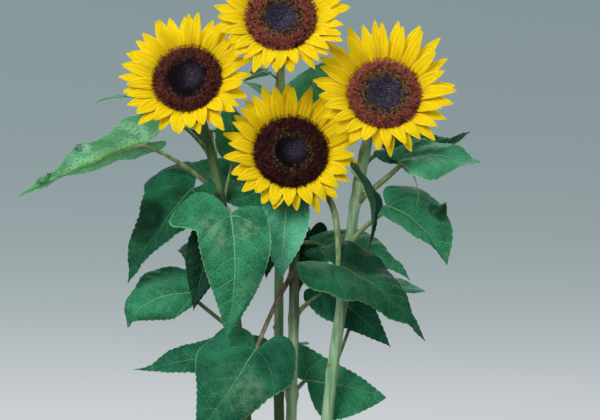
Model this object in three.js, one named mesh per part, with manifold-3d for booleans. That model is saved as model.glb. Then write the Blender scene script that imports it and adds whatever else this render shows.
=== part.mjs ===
// A sunflower plant: four stems from one root crown, each with its flower head and leaves.
// Millimetres, +Z up. The origin is on the flat cut at ground level, under the crown.
import * as THREE from 'three';
import { mergeVertices } from 'three/addons/utils/BufferGeometryUtils.js';
import Module from 'manifold-3d';

const wasm = await Module();
wasm.setup();

// ---- driving dimensions ----
const clearance = 0.3; // between pieces that touch
const crownHeight = 52;
const crownRadius = 23; // top of the crown
const flareRadius = 36; // at the ground
const flareRoots = 5; // swellings round the flare
const flareDepth = 0.16; // swelling, as a share of the radius
const stemSides = 8;
const stemSteps = 12;
const stemFootRadius = 7.2;
const stemHeadRadius = 4.3;
const neckRadius = 7;
const neckStart = 0.9; // where the neck begins to widen, as a share of the stem's length
const headSegments = 16;
const calyxDepth = 26; // from the disc's base back to the neck
const bractReach = 1.36; // bract tips, as a share of the disc radius
const rayCount = 21;
const rayValley = 0.56; // depth of the notches between ray tips, as a share of the ray length
const rayLean = THREE.MathUtils.degToRad(28); // rays lean forward from the disc's plane
const rayThickness = 1.4;
const petioleSides = 5;
const petioleStations = [0, 0.42, 0.84, 1];
const petioleFootRadius = 2.7;
const petioleEndRadius = 1.9;
const slimLeafWidth = 60; // narrower leaves have thinner stalks in proportion
const bladeThickness = 1.5;
const lobeDepth = 0.16; // basal lobes, as a share of the blade's length
const bladeRows = [0, 0.16, 0.44, 0.74, 1];
const bladeColumns = [1, 0.5, 0, -0.5, -1];
const lobeFade = 5; // how fast a wide lobe narrows towards the tip
const leafTipWidth = 2.4;

const leafMaterial = { color: 0x2d8a5c, roughness: 0.62, metalness: 0 };
const shadedLeafMaterial = { color: 0x1b6140, roughness: 0.66, metalness: 0 };
const stemMaterial = { color: 0x7da06a, roughness: 0.7, metalness: 0 };
const rayMaterial = { color: 0xffd200, roughness: 0.55, metalness: 0 };
const discMaterial = { color: 0x3a1518, roughness: 0.85, metalness: 0 };
const calyxMaterial = { color: 0x4c7a3c, roughness: 0.7, metalness: 0 };

const vec = (p) => new THREE.Vector3(...p);
const up = new THREE.Vector3(0, 0, 1);

// ---- heads: disc centre, facing direction, disc radius, ray length ----
const heads = {
  left: { centre: [-118, 20, 853], facing: [-0.12, -0.93, 0.33], disc: 40, ray: 40 },
  top: { centre: [-8, -10, 922], facing: [0, -0.94, 0.34], disc: 40, ray: 39 },
  right: { centre: [112, -5, 834], facing: [0.03, -0.94, 0.34], disc: 42, ray: 43 },
  middle: { centre: [3, 10, 767], facing: [0.06, -0.95, 0.31], disc: 43, ray: 38 },
};

// ---- stems: the points each passes, from the crown up to where its neck begins to turn ----
const stemRoutes = {
  left: [[-10.5, 5.5], [-33, 18, 240], [-51, 30, 470], [-79, 46, 707], [-99, 54, 795]],
  top: [[5.5, 10.5], [-3, 26, 240], [-11, 37, 470], [-11, 58, 640], [-10, 55, 800], [-9, 32, 870]],
  right: [[10.5, -5.5], [27, -4, 240], [47, 1, 470], [66, 14, 610], [80, 27, 713], [95, 32, 786]],
  middle: [[-5.5, -10.5], [0, -3, 240], [4, 9, 470], [7, 22, 597], [6, 43, 690]],
};

// ---- leaves ----
// at: height where the petiole leaves its stem; base and tip: the ends of the midrib;
// face: the way the upper side looks; rise and sway: how far the petiole bows up and sideways;
// arch: how far the midrib bows towards its upper side; fold: degrees each half is raised from
// the midrib; curl: how far the margins droop
// halves and lobes: how wide the two halves and their basal lobes are, as shares of the usual,
// left then right as the upper side is seen with the tip down
const usual = {
  rise: 8, sway: [0, 0], arch: 8, fold: 10, curl: 6, halves: [1, 1], lobes: [1, 1], shade: false,
};
const leafList = [
  // left stem
  { stem: 'left', at: 718, base: [-170, 22, 781], tip: [-314, -15, 715], width: 80,
    face: [-0.3, 0.45, 0.8], rise: 6, arch: 7, fold: 21, curl: 10 },
  { stem: 'left', at: 760, base: [-143, 84, 812], tip: [-235, 84, 829], width: 50,
    face: [0.1, 0.1, 1], arch: 18 },
  { stem: 'left', at: 690, base: [-66, -38, 697], tip: [-71, -54, 552], width: 82,
    face: [0.1, -0.95, 0.25], rise: 10, arch: 6, fold: 4, lobes: [1.9, 1.05] },
  { stem: 'left', at: 704, base: [-113, 30, 727], tip: [-187, 8, 615], width: 90,
    face: [-0.4, -0.75, 0.5], rise: 6, arch: 14, fold: 8, lobes: [1.4, 1], shade: true },
  { stem: 'left', at: 704, base: [-63, 62, 773], tip: [-75, 76, 836], width: 46,
    face: [0.1, -0.9, 0.35], rise: 2, arch: 3, curl: 4 },
  { stem: 'left', at: 640, base: [-92, -2, 664], tip: [-107, -20, 592], width: 38,
    face: [0.85, -0.5, 0.1], rise: 4, arch: 5, curl: 4, shade: true },
  // top stem
  { stem: 'top', at: 716, base: [-36, 80, 725], tip: [-136, 86, 757], width: 74,
    face: [-0.2, -0.7, 0.65], arch: 6, shade: true },
  { stem: 'top', at: 828, base: [-20, 32, 836], tip: [-54, 22, 850], width: 14,
    face: [0, -0.6, 0.8], rise: 2, arch: 3, curl: 2 },
  { stem: 'top', at: 852, base: [-26, 24, 868], tip: [-54, 16, 853], width: 14,
    face: [0, -0.6, 0.8], rise: 2, arch: 3, curl: 2, shade: true },
  { stem: 'top', at: 806, base: [4, 62, 818], tip: [56, 68, 882], width: 62,
    face: [-0.3, -0.8, 0.5], rise: 2, arch: 5 },
  { stem: 'top', at: 650, base: [40, 66, 660], tip: [144, 44, 617], width: 70,
    face: [0.15, -0.6, 0.8], arch: 14, fold: 6 },
  { stem: 'top', at: 668, base: [26, 108, 676], tip: [14, 102, 602], width: 56,
    face: [-0.5, -0.85, 0.1], rise: 6, arch: 5, shade: true },
  { stem: 'top', at: 690, base: [-20, 82, 690], tip: [-27, 76, 618], width: 46,
    face: [0.1, -0.95, 0.1], rise: 4, arch: 3, shade: true },
  { stem: 'top', at: 524, base: [-115, 11, 605], tip: [-198, 2, 567], width: 86,
    face: [-0.3, -0.65, 0.7], rise: -6, sway: [0, -6], arch: 12 },
  // right stem
  { stem: 'right', at: 750, base: [118, 58, 775], tip: [224, 44, 787], width: 66,
    face: [0.1, -0.3, 0.9], rise: 4, arch: 12, fold: 4 },
  { stem: 'right', at: 711, base: [131, 20, 761], tip: [225, -4, 752], width: 78,
    face: [0.15, -0.55, 0.8], rise: -4, arch: 12, fold: 6, curl: 10 },
  { stem: 'right', at: 662, base: [117, 2, 707], tip: [184, -18, 637], width: 80,
    face: [0.55, -0.6, 0.6], rise: 2, arch: 16 },
  { stem: 'right', at: 735, base: [74, -44, 752], tip: [86, -54, 642], width: 46,
    face: [0.93, -0.35, 0.1], rise: 10, arch: 10, fold: 26, curl: 3, shade: true },
  { stem: 'right', at: 511, base: [88, 82, 606], tip: [172, 92, 600], width: 52,
    face: [0.1, -0.35, 0.9], rise: -4, arch: 8 },
  // middle stem
  { stem: 'middle', at: 690, base: [-2, 14, 704], tip: [-9, -4, 618], width: 64,
    face: [0, -0.97, 0.2], rise: 3, arch: 3, fold: 28, curl: 2 },
  { stem: 'middle', at: 702, base: [56, -33, 638], tip: [156, -64, 551], width: 108,
    face: [0.4, -0.55, 0.75], rise: 47, sway: [16, 16], arch: 16, fold: 6, curl: 12 },
  { stem: 'middle', at: 575, base: [42, 47, 606], tip: [121, 40, 538], width: 66,
    face: [0.3, -0.88, 0.4], rise: 2, arch: 10, shade: true },
  { stem: 'middle', at: 628, base: [-37, -36, 541], tip: [-106, -72, 440], width: 112,
    face: [-0.1, -0.85, 0.5], rise: 6, arch: 12, fold: 4, curl: 12 },
  { stem: 'middle', at: 486, base: [-40, -6, 533], tip: [-176, -16, 511], width: 72,
    face: [-0.1, -0.7, 0.7], rise: 2, arch: 10, fold: 6 },
  { stem: 'middle', at: 486, base: [16, 41, 500], tip: [118, 37, 477], width: 108,
    face: [0.1, -0.92, 0.38], rise: -2, arch: 10, halves: [1, 0.4], lobes: [1, 2.6] },
  // the far side
  { stem: 'left', at: 745, base: [-92, 126, 800], tip: [-104, 216, 774], width: 80,
    face: [0, 0.3, 0.95], arch: 14 },
  { stem: 'left', at: 618, base: [-84, 92, 656], tip: [-112, 188, 604], width: 90,
    face: [-0.15, 0.5, 0.85], arch: 16 },
  { stem: 'top', at: 712, base: [4, 122, 728], tip: [12, 226, 682], width: 94,
    face: [0, 0.4, 0.9], arch: 16 },
  { stem: 'right', at: 772, base: [104, 94, 808], tip: [132, 184, 790], width: 84,
    face: [0.1, 0.3, 0.95], arch: 14 },
  { stem: 'right', at: 600, base: [84, 118, 640], tip: [100, 216, 600], width: 84,
    face: [0.1, 0.45, 0.88], arch: 14 },
  { stem: 'top', at: 488, base: [-22, 92, 536], tip: [-30, 202, 490], width: 100,
    face: [-0.05, 0.45, 0.88], arch: 16 },
  // low on the stems
  { stem: 'left', at: 380, base: [-96, 2, 412], tip: [-206, -26, 352], width: 104,
    face: [-0.35, -0.4, 0.85], arch: 18 },
  { stem: 'right', at: 372, base: [96, -10, 404], tip: [206, -34, 346], width: 106,
    face: [0.35, -0.4, 0.85], arch: 18 },
  { stem: 'middle', at: 330, base: [10, -66, 372], tip: [28, -176, 318], width: 108,
    face: [0.05, -0.5, 0.85], arch: 18 },
  { stem: 'top', at: 322, base: [28, 82, 366], tip: [62, 188, 316], width: 106,
    face: [0.1, 0.45, 0.88], arch: 18 },
  { stem: 'left', at: 250, base: [-80, 62, 286], tip: [-158, 138, 236], width: 104,
    face: [-0.3, 0.35, 0.88], arch: 18 },
  { stem: 'right', at: 236, base: [76, 50, 268], tip: [162, 116, 214], width: 104,
    face: [0.3, 0.35, 0.88], arch: 18 },
  { stem: 'middle', at: 206, base: [-58, -50, 244], tip: [-134, -126, 190], width: 100,
    face: [-0.3, -0.35, 0.88], arch: 18 },
];

// ---- closed solids from rings of points ----
// Every ring has the same number of points, anticlockwise as seen from the end of the loft.
function loft(rings) {
  const count = rings[0].length;
  const positions = rings.flat().flatMap((p) => [p.x, p.y, p.z]);
  const index = [];
  for (let r = 0; r < rings.length - 1; r += 1) {
    for (let k = 0; k < count; k += 1) {
      const a = r * count + k;
      const b = r * count + ((k + 1) % count);
      index.push(a, b, b + count, a, b + count, a + count);
    }
  }
  const last = (rings.length - 1) * count;
  for (let k = 0; k < count / 2 - 1; k += 1) {
    const [a, b, c, d] = [k, k + 1, count - 2 - k, count - 1 - k];
    if (b !== c) index.push(a, c, b, last + a, last + b, last + c);
    if (c !== d && a !== d) index.push(a, d, c, last + a, last + c, last + d);
  }
  const geometry = new THREE.BufferGeometry();
  geometry.setAttribute('position', new THREE.Float32BufferAttribute(positions, 3));
  geometry.setIndex(index);
  return geometry;
}

function circle(centre, axis, across, radius, sides) {
  const along = axis.clone().cross(across);
  return Array.from({ length: sides }, (_, k) => {
    const angle = (2 * Math.PI * k) / sides;
    return centre.clone()
      .addScaledVector(across, radius * Math.cos(angle))
      .addScaledVector(along, radius * Math.sin(angle));
  });
}

// stations: where along the curve the rings stand, from 0 to 1
function taperedTube(curve, stations, sides, radiusAt, startAxis, endAxis) {
  let reference = new THREE.Vector3(1, 0.2, 0.1);
  const rings = stations.map((t) => {
    let axis = curve.getTangentAt(t);
    if (t === 0 && startAxis) axis = startAxis;
    if (t === 1 && endAxis) axis = endAxis;
    reference = reference.clone().addScaledVector(axis, -reference.dot(axis)).normalize();
    return circle(curve.getPointAt(t), axis, reference, radiusAt(t), sides);
  });
  return loft(rings);
}

function toSolid(geometry) {
  const bare = new THREE.BufferGeometry();
  bare.setAttribute('position', geometry.getAttribute('position'));
  bare.setIndex(geometry.getIndex());
  const merged = mergeVertices(bare, 1e-4);
  return new wasm.Manifold(new wasm.Mesh({
    numProp: 3,
    vertProperties: new Float32Array(merged.getAttribute('position').array),
    triVerts: new Uint32Array(merged.getIndex().array),
  }));
}

function fromSolid(solid) {
  const mesh = solid.getMesh();
  const geometry = new THREE.BufferGeometry();
  geometry.setAttribute('position', new THREE.Float32BufferAttribute(mesh.vertProperties, 3));
  geometry.setIndex(Array.from(mesh.triVerts));
  return geometry;
}

// ---- root crown ----
function crownGeometry() {
  const profile = [
    [0, 0], [flareRadius, 0], [flareRadius * 0.8, 9], [flareRadius * 0.69, 22],
    [crownRadius, crownHeight - 6], [crownRadius - 3, crownHeight], [0, crownHeight],
  ];
  const geometry = new THREE.LatheGeometry(profile.map((p) => new THREE.Vector2(...p)), headSegments);
  geometry.rotateX(Math.PI / 2);
  const position = geometry.getAttribute('position');
  for (let k = 0; k < position.count; k += 1) {
    const x = position.getX(k);
    const y = position.getY(k);
    const fade = 1 - position.getZ(k) / crownHeight;
    const swell = 1 + flareDepth * fade * fade * Math.cos(flareRoots * Math.atan2(y, x));
    position.setXY(k, x * swell, y * swell);
  }
  return geometry;
}

// ---- stems ----
function stemCurve(name) {
  const head = heads[name];
  const facing = vec(head.facing).normalize();
  const [start, ...route] = stemRoutes[name];
  const points = [new THREE.Vector3(...start, crownHeight + clearance)];
  points.push(...route.map(vec));
  points.push(vec(head.centre).addScaledVector(facing, -calyxDepth - clearance));
  return new THREE.CatmullRomCurve3(points, false, 'centripetal');
}

function stemRadiusAt(t) {
  const neck = THREE.MathUtils.smoothstep(t, neckStart, 1);
  return THREE.MathUtils.lerp(stemFootRadius, stemHeadRadius, t) + neck * (neckRadius - stemHeadRadius);
}

function stemGeometry(name, extra = 0) {
  const facing = vec(heads[name].facing).normalize();
  const radius = (t) => stemRadiusAt(t) + extra;
  const stations = Array.from({ length: stemSteps + 1 }, (_, k) => k / stemSteps);
  return taperedTube(stemCurve(name), stations, stemSides, radius, up, facing);
}

function pointAtHeight(curve, height) {
  let low = 0;
  let high = 1;
  for (let k = 0; k < 30; k += 1) {
    const middle = (low + high) / 2;
    if (curve.getPointAt(middle).z < height) low = middle;
    else high = middle;
  }
  return curve.getPointAt(low);
}

// ---- heads, built facing +Z with the disc's base at the origin ----
function latheZ(profile, segments) {
  const geometry = new THREE.LatheGeometry(profile.map((p) => new THREE.Vector2(...p)), segments);
  return geometry.rotateX(Math.PI / 2);
}

function calyxGeometry(disc) {
  const face = -rayThickness - 2 * clearance;
  const reach = disc * bractReach;
  const geometry = latheZ([
    [0, -calyxDepth], [neckRadius, -calyxDepth], [neckRadius + 7, -calyxDepth + 6],
    [disc * 0.8, -10], [reach, face - 1.6], [disc + 2, face], [0, face],
  ], headSegments);
  // the widest ring is drawn in between the bract tips
  const position = geometry.getAttribute('position');
  for (let k = 0; k < position.count; k += 1) {
    const x = position.getX(k);
    const y = position.getY(k);
    if (Math.hypot(x, y) < reach - 1) continue;
    const tip = Math.cos((headSegments / 2) * Math.atan2(y, x));
    const scale = tip > 0 ? 1 : (disc + 4) / reach;
    position.setXY(k, x * scale, y * scale);
  }
  return geometry;
}

function discGeometry(disc) {
  const base = -rayThickness - clearance;
  return latheZ([
    [0, base], [disc - 2, base], [disc - 0.5, 4.5], [disc * 0.84, 9],
    [disc * 0.45, 10.5], [0, 7],
  ], headSegments);
}

function raysGeometry(disc, ray) {
  const inner = disc + 2 * clearance;
  const lean = new THREE.Vector2(Math.cos(rayLean), Math.sin(rayLean));
  const positions = [];
  const index = [];
  const add = (radius, angle, height) => {
    positions.push(radius * Math.cos(angle), radius * Math.sin(angle), height);
    return positions.length / 3 - 1;
  };
  const sector = (2 * Math.PI) / rayCount;
  const sides = [];
  for (const lift of [-rayThickness - clearance, -clearance]) {
    const rows = [];
    for (let k = 0; k < rayCount; k += 1) {
      const valley = ray * rayValley;
      rows.push({
        inner: add(inner, k * sector, lift),
        valley: add(inner + valley * lean.x, k * sector, lift + valley * lean.y),
        tip: add(inner + ray * lean.x, (k + 0.5) * sector, lift + ray * lean.y),
      });
    }
    sides.push(rows);
  }
  const [lower, upper] = sides;
  for (let k = 0; k < rayCount; k += 1) {
    const [a, b] = [upper[k], upper[(k + 1) % rayCount]];
    const [c, d] = [lower[k], lower[(k + 1) % rayCount]];
    index.push(a.inner, a.valley, a.tip, a.inner, a.tip, b.inner, b.inner, a.tip, b.valley);
    index.push(c.inner, c.tip, c.valley, c.inner, d.inner, c.tip, d.inner, d.valley, c.tip);
    index.push(a.inner, b.inner, d.inner, a.inner, d.inner, c.inner);
    index.push(a.valley, c.valley, c.tip, a.valley, c.tip, a.tip);
    index.push(a.tip, c.tip, d.valley, a.tip, d.valley, b.valley);
  }
  const geometry = new THREE.BufferGeometry();
  geometry.setAttribute('position', new THREE.Float32BufferAttribute(positions, 3));
  geometry.setIndex(index);
  return geometry;
}

// ---- leaves ----
// half-width along the midrib: full just past the stalk, drawn out to the tip
function bladeWidthAt(t) {
  return (1 - t) * (0.83 + 2.5 * t - 2.13 * t * t);
}

// how far the basal lobe reaches back, from the midrib out to the margin
function lobeReach(share) {
  return Math.sin(0.83 * Math.PI * share ** 0.8);
}

function bladeGeometry(leaf) {
  const base = vec(leaf.base);
  const tip = vec(leaf.tip);
  const length = base.distanceTo(tip);
  const face = vec(leaf.face).normalize();
  const control = base.clone().lerp(tip, 0.5).addScaledVector(face, 2 * leaf.arch);
  const midrib = new THREE.QuadraticBezierCurve3(base, control, tip);
  const fold = THREE.MathUtils.degToRad(leaf.fold);
  const rings = bladeRows.map((t) => {
    const axis = midrib.getTangent(t).normalize();
    const normal = face.clone().addScaledVector(axis, -face.dot(axis)).normalize();
    const side = normal.clone().cross(axis);
    const line = bladeColumns.map((u) => {
      const part = u > 0 ? 1 : 0;
      const lobe = 1 + (leaf.lobes[part] - 1) * (1 - t) ** lobeFade;
      const share = leaf.halves[part] * lobe * bladeWidthAt(t);
      const out = Math.abs(u) * Math.max((leaf.width / 2) * share, leafTipWidth / 2);
      const back = lobeDepth * length * (1 - t) ** 3 * lobeReach(Math.abs(u));
      const droop = leaf.curl * (out / (leaf.width / 2)) ** 2;
      return midrib.getPoint(t)
        .addScaledVector(axis, -back)
        .addScaledVector(side, Math.sign(u) * out * Math.cos(fold))
        .addScaledVector(normal, out * Math.sin(fold) - droop);
    });
    const upper = line.map((p) => p.clone().addScaledVector(normal, bladeThickness / 2));
    const lower = line.map((p) => p.clone().addScaledVector(normal, -bladeThickness / 2));
    return [...upper, ...lower.reverse()];
  });
  return { geometry: loft(rings), midrib };
}

function leafGeometry(leaf, start, grownStem) {
  const { geometry, midrib } = bladeGeometry(leaf);
  const base = vec(leaf.base);
  const bow = new THREE.Vector3(...leaf.sway, leaf.rise);
  const bend = start.clone().lerp(base, 0.5).addScaledVector(bow, 2);
  const petiole = new THREE.QuadraticBezierCurve3(start, bend, midrib.getPoint(0.03));
  const share = Math.min(1, leaf.width / slimLeafWidth);
  const radius = (t) => {
    if (t === 1) return bladeThickness / 3;
    return share * THREE.MathUtils.lerp(petioleFootRadius, petioleEndRadius, t);
  };
  const tube = taperedTube(petiole, petioleStations, petioleSides, radius);
  return fromSolid(toSolid(geometry).add(toSolid(tube)).subtract(grownStem));
}

// ---- assembly ----
const plant = new THREE.Group();

function addMesh(parent, name, geometry, look) {
  const mesh = new THREE.Mesh(geometry, new THREE.MeshStandardMaterial(look));
  mesh.name = name;
  parent.add(mesh);
  return mesh;
}

addMesh(plant, 'root_crown', crownGeometry(), stemMaterial);

const curves = {};
const grownStems = {};
for (const [name, head] of Object.entries(heads)) {
  curves[name] = stemCurve(name);
  grownStems[name] = toSolid(stemGeometry(name, clearance));
  addMesh(plant, `stem_${name}`, stemGeometry(name), stemMaterial);

  const flower = new THREE.Group();
  flower.position.copy(vec(head.centre));
  flower.quaternion.setFromUnitVectors(up, vec(head.facing).normalize());
  addMesh(flower, `calyx_${name}`, calyxGeometry(head.disc), calyxMaterial);
  addMesh(flower, `rays_${name}`, raysGeometry(head.disc, head.ray), rayMaterial);
  addMesh(flower, `disc_${name}`, discGeometry(head.disc), discMaterial);
  plant.add(flower);
}

const leafNumbers = { left: 0, top: 0, right: 0, middle: 0 };
for (const row of leafList) {
  const leaf = { ...usual, ...row };
  leafNumbers[leaf.stem] += 1;
  const start = pointAtHeight(curves[leaf.stem], leaf.at);
  const geometry = leafGeometry(leaf, start, grownStems[leaf.stem]);
  const look = leaf.shade ? shadedLeafMaterial : leafMaterial;
  addMesh(plant, `leaf_${leaf.stem}_${leafNumbers[leaf.stem]}`, geometry, look);
}

export default plant;
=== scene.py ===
import math

import bpy
import numpy as np
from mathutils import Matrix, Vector


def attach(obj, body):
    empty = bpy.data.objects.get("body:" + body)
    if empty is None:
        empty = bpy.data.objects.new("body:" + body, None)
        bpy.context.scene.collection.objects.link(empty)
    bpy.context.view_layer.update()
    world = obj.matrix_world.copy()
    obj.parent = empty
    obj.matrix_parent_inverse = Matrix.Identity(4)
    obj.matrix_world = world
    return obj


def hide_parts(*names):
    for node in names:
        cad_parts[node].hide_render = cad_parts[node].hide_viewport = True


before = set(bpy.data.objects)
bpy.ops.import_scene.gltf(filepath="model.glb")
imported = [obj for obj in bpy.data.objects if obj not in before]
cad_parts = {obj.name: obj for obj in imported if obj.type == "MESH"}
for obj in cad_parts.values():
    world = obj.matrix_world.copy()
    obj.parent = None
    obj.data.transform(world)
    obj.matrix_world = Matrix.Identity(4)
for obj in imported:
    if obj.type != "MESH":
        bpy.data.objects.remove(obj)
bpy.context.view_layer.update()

scene = bpy.context.scene
mm = 0.001  # the plant's own sizes are in millimetres, as it is measured


def unit(v):
    v = np.asarray(v, float)
    return v / np.linalg.norm(v, axis=-1, keepdims=True)


def smooth(low, high, x):
    s = np.clip((np.asarray(x, float) - low) / (high - low), 0, 1)
    return s * s * (3 - 2 * s)


def between(a, b, t):
    return a + (b - a) * t


def bell(x, width):
    return np.exp(-((np.asarray(x, float) / width) ** 2))


def plateau(x, width):
    return np.exp(-((np.asarray(x, float) / width) ** 4))


def ripples(rng, pitch, count=5):
    # a smooth uneven field over x and y, about -1 to 1, with bumps about one pitch apart
    turn = rng.uniform(0, 2 * math.pi, count)
    phase = rng.uniform(0, 2 * math.pi, count)
    wave = 2 * math.pi / (pitch * rng.uniform(0.75, 1.5, count))

    def field(x, y):
        parts = [
            np.sin(w * (x * math.cos(a) + y * math.sin(a)) + p)
            for w, a, p in zip(wave, turn, phase)
        ]
        return sum(parts) / math.sqrt(count)

    return field


# Camera, floor, backdrop and light

studio = {
    "cameraPlace": (0.014, -2.5, 0.701),
    "lens": 128.2,
    "floorRadius": 4.6,
    "wallRadius": 9.0,
    "wallHeight": 7.0,
    "curveHeight": 3.4,
    "nearPaper": (0.8, 0.81, 0.83),
    "farPaper": (0.19, 0.195, 0.2),
    "footGlow": (0.462, 0.487, 0.508),  # what the backdrop gives by itself at its foot
    "highGlow": (0.135, 0.202, 0.209),
    "glowFade": 0.32,
    "farStart": 0.8,  # how far out the paper starts to darken and glow
    "sideShare": 0.035,  # how much brighter the left side is, and dimmer the right
    "sideReach": 1.6,
    "skyAbove": 0.62,
    "skyBelow": 0.12,
    "target": (0, 0, 0.7),
    "lights": {  # place, size and power
        "keyLight": ((-1.5, -2.5, 2.5), 1.9, 95),
        "fillLight": ((1.5, -3.0, 1.5), 2.0, 20),
        "backLight": ((0.3, 1.7, 2.5), 1.6, 30),
    },
}


def areaLight(name, place, size, power):
    lamp = bpy.data.lights.new(name, "AREA")
    lamp.shape = "DISK"
    lamp.size = size
    lamp.energy = power
    holder = bpy.data.objects.new(name, lamp)
    scene.collection.objects.link(holder)
    holder.location = place
    towards = Vector(studio["target"]) - Vector(place)
    holder.rotation_euler = towards.to_track_quat("-Z", "Y").to_euler()


def makeCamera():
    data = bpy.data.cameras.new("camera")
    data.lens = studio["lens"]
    data.clip_end = 60
    camera = bpy.data.objects.new("camera", data)
    scene.collection.objects.link(camera)
    camera.location = studio["cameraPlace"]
    camera.rotation_euler = (math.pi / 2, 0, 0)
    scene.camera = camera


def turnedSurface(name, profile, sides):
    # an open surface of revolution round Z, in metres
    angle = np.arange(sides) * 2 * math.pi / sides
    ring = np.stack([np.cos(angle), np.sin(angle), np.zeros(sides)], -1)
    rows = [radius * ring + (0, 0, height) for radius, height in profile]
    faces = ringWall(len(rows), sides)[1]
    mesh = bpy.data.meshes.new(name)
    mesh.from_pydata(np.concatenate(rows).tolist(), [], faces.tolist())
    mesh.shade_smooth()
    surface = bpy.data.objects.new(name, mesh)
    scene.collection.objects.link(surface)
    return surface


def makeStudio():
    scene.view_settings.view_transform = "Standard"
    world = bpy.data.worlds.new("softSky")
    world.use_nodes = True
    sky = world.node_tree.nodes["Background"]
    sky.inputs["Color"].default_value = (1, 1, 1, 1)
    upward = split(world, addNode(world, "ShaderNodeTexCoord").outputs["Generated"])["Z"]
    strength = span(world, upward, -0.5, 0.8, studio["skyBelow"], studio["skyAbove"])
    plug(world, sky.inputs["Strength"], strength)
    scene.world = world

    floorRadius, wallRadius = studio["floorRadius"], studio["wallRadius"]
    floor = turnedSurface("floor", [(0.001, 0), (1, 0), (floorRadius, 0)], 64)
    curve = []
    for k in range(17):
        turn = k / 16 * math.pi / 2
        radius = floorRadius + (wallRadius - floorRadius) * math.sin(turn)
        curve.append((radius, studio["curveHeight"] * (1 - math.cos(turn))))
    backdrop = turnedSurface("backdrop", curve + [(wallRadius, studio["wallHeight"])], 64)
    floor.visible_diffuse = False
    backdrop.visible_diffuse = False
    backdrop.visible_glossy = False
    backdrop.visible_shadow = False

    # plain paper, which glows a little further out, more at its foot than higher up
    paper = newMaterial("studioPaper", roughness=0.9, specular=0.1)
    x, y, z = split(paper, coordinates(paper))
    fade = sums(paper, "EXPONENT", sums(paper, "DIVIDE", z, -studio["glowFade"]))
    glow = blend(paper, fade, studio["highGlow"], studio["footGlow"])
    flat = sums(paper, "MULTIPLY_ADD", x, x, sums(paper, "MULTIPLY", y, y))
    far = span(paper, sums(paper, "SQRT", flat), studio["farStart"], floorRadius * 0.95)
    reach, share = studio["sideReach"], studio["sideShare"]
    sideways = span(paper, x, -reach, reach, 1 + share, 1 - share)
    setInput(paper, "Base Color", blend(paper, far, studio["nearPaper"], studio["farPaper"]))
    setInput(paper, "Emission Color", glow)
    setInput(paper, "Emission Strength", sums(paper, "MULTIPLY", far, sideways))
    floor.data.materials.append(paper)
    backdrop.data.materials.append(paper)
    for name, (place, size, power) in studio["lights"].items():
        areaLight(name, place, size, power)
    print("studio made")


# Short hands for building materials

def newMaterial(name, roughness=0.6, specular=0.3):
    material = bpy.data.materials.new(name)
    material.use_nodes = True
    shader = material.node_tree.nodes["Principled BSDF"]
    shader.inputs["Roughness"].default_value = roughness
    shader.inputs["Specular IOR Level"].default_value = specular
    return material


def plug(material, socket, value):
    if isinstance(value, bpy.types.NodeSocket):
        material.node_tree.links.new(value, socket)
    elif socket.type == "RGBA":
        socket.default_value = (*value[:3], 1)
    else:
        socket.default_value = value


def setInput(material, name, value):
    plug(material, material.node_tree.nodes["Principled BSDF"].inputs[name], value)


def addNode(material, kind, inputs=None, **settings):
    node = material.node_tree.nodes.new(kind)
    for key, value in settings.items():
        setattr(node, key, value)
    for key, value in (inputs or {}).items():
        plug(material, node.inputs[key], value)
    return node


def coordinates(material, scale=(1, 1, 1)):
    place = addNode(material, "ShaderNodeTexCoord").outputs["Object"]
    return addNode(material, "ShaderNodeMapping", {"Vector": place, "Scale": scale}).outputs["Vector"]


def mark(material, name):
    return addNode(material, "ShaderNodeAttribute", attribute_name=name).outputs["Vector"]


def split(material, vector):
    return addNode(material, "ShaderNodeSeparateXYZ", {"Vector": vector}).outputs


def sums(material, operation, a, b=0.0, c=0.0):
    node = addNode(material, "ShaderNodeMath", {0: a, 1: b, 2: c}, operation=operation)
    return node.outputs["Value"]


def span(material, value, low, high, start=0.0, end=1.0):
    # start below low, end above high, and a smooth change between
    return addNode(material, "ShaderNodeMapRange", {
        "Value": value, "From Min": low, "From Max": high, "To Min": start, "To Max": end,
    }, interpolation_type="SMOOTHSTEP").outputs["Result"]


def noise(material, vector, scale, detail=3.0, roughness=0.5):
    return addNode(material, "ShaderNodeTexNoise", {
        "Vector": vector, "Scale": scale, "Detail": detail, "Roughness": roughness,
    }).outputs["Fac"]


def blend(material, share, a, b, kind="MIX"):
    node = addNode(material, "ShaderNodeMix", data_type="RGBA", blend_type=kind)
    plug(material, node.inputs[0], share)
    plug(material, node.inputs[6], a)
    plug(material, node.inputs[7], b)
    return node.outputs[2]


def bump(material, height, distance, strength=1.0):
    node = addNode(material, "ShaderNodeBump", {
        "Height": height, "Distance": distance, "Strength": strength,
    })
    setInput(material, "Normal", node.outputs["Normal"])


def letThrough(material, share, colour, depth=0.003):
    # some light passes through a thin sheet
    setInput(material, "Subsurface Weight", share)
    setInput(material, "Subsurface Radius", colour)
    setInput(material, "Subsurface Scale", depth)


# Pieces are gathered from closed bodies

class Bag:
    def __init__(self):
        self.points, self.faces, self.looks, self.marks = [], [], [], {}
        self.count = 0

    def add(self, points, faces, look=0, **marks):
        # look: the number of the material, for all the faces or for each batch of them
        points = np.asarray(points, float).reshape(-1, 3)
        self.points.append(points)
        for batch, number in zip(faces, np.broadcast_to(look, len(faces))):
            batch = np.asarray(batch) + self.count
            self.faces.extend(batch.tolist())
            self.looks.append(np.full(len(batch), number))
        for name, values in marks.items():
            self.marks.setdefault(name, []).append((self.count, np.asarray(values).reshape(-1, 3)))
        self.count += len(points)


def makeMesh(name, bag):
    mesh = bpy.data.meshes.new(name)
    mesh.from_pydata((np.concatenate(bag.points) * mm).tolist(), [], bag.faces)
    made = bpy.data.objects.new(name, mesh)
    scene.collection.objects.link(made)
    return made


def finishPiece(piece, nodes):
    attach(piece, "root")
    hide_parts(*nodes)


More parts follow.
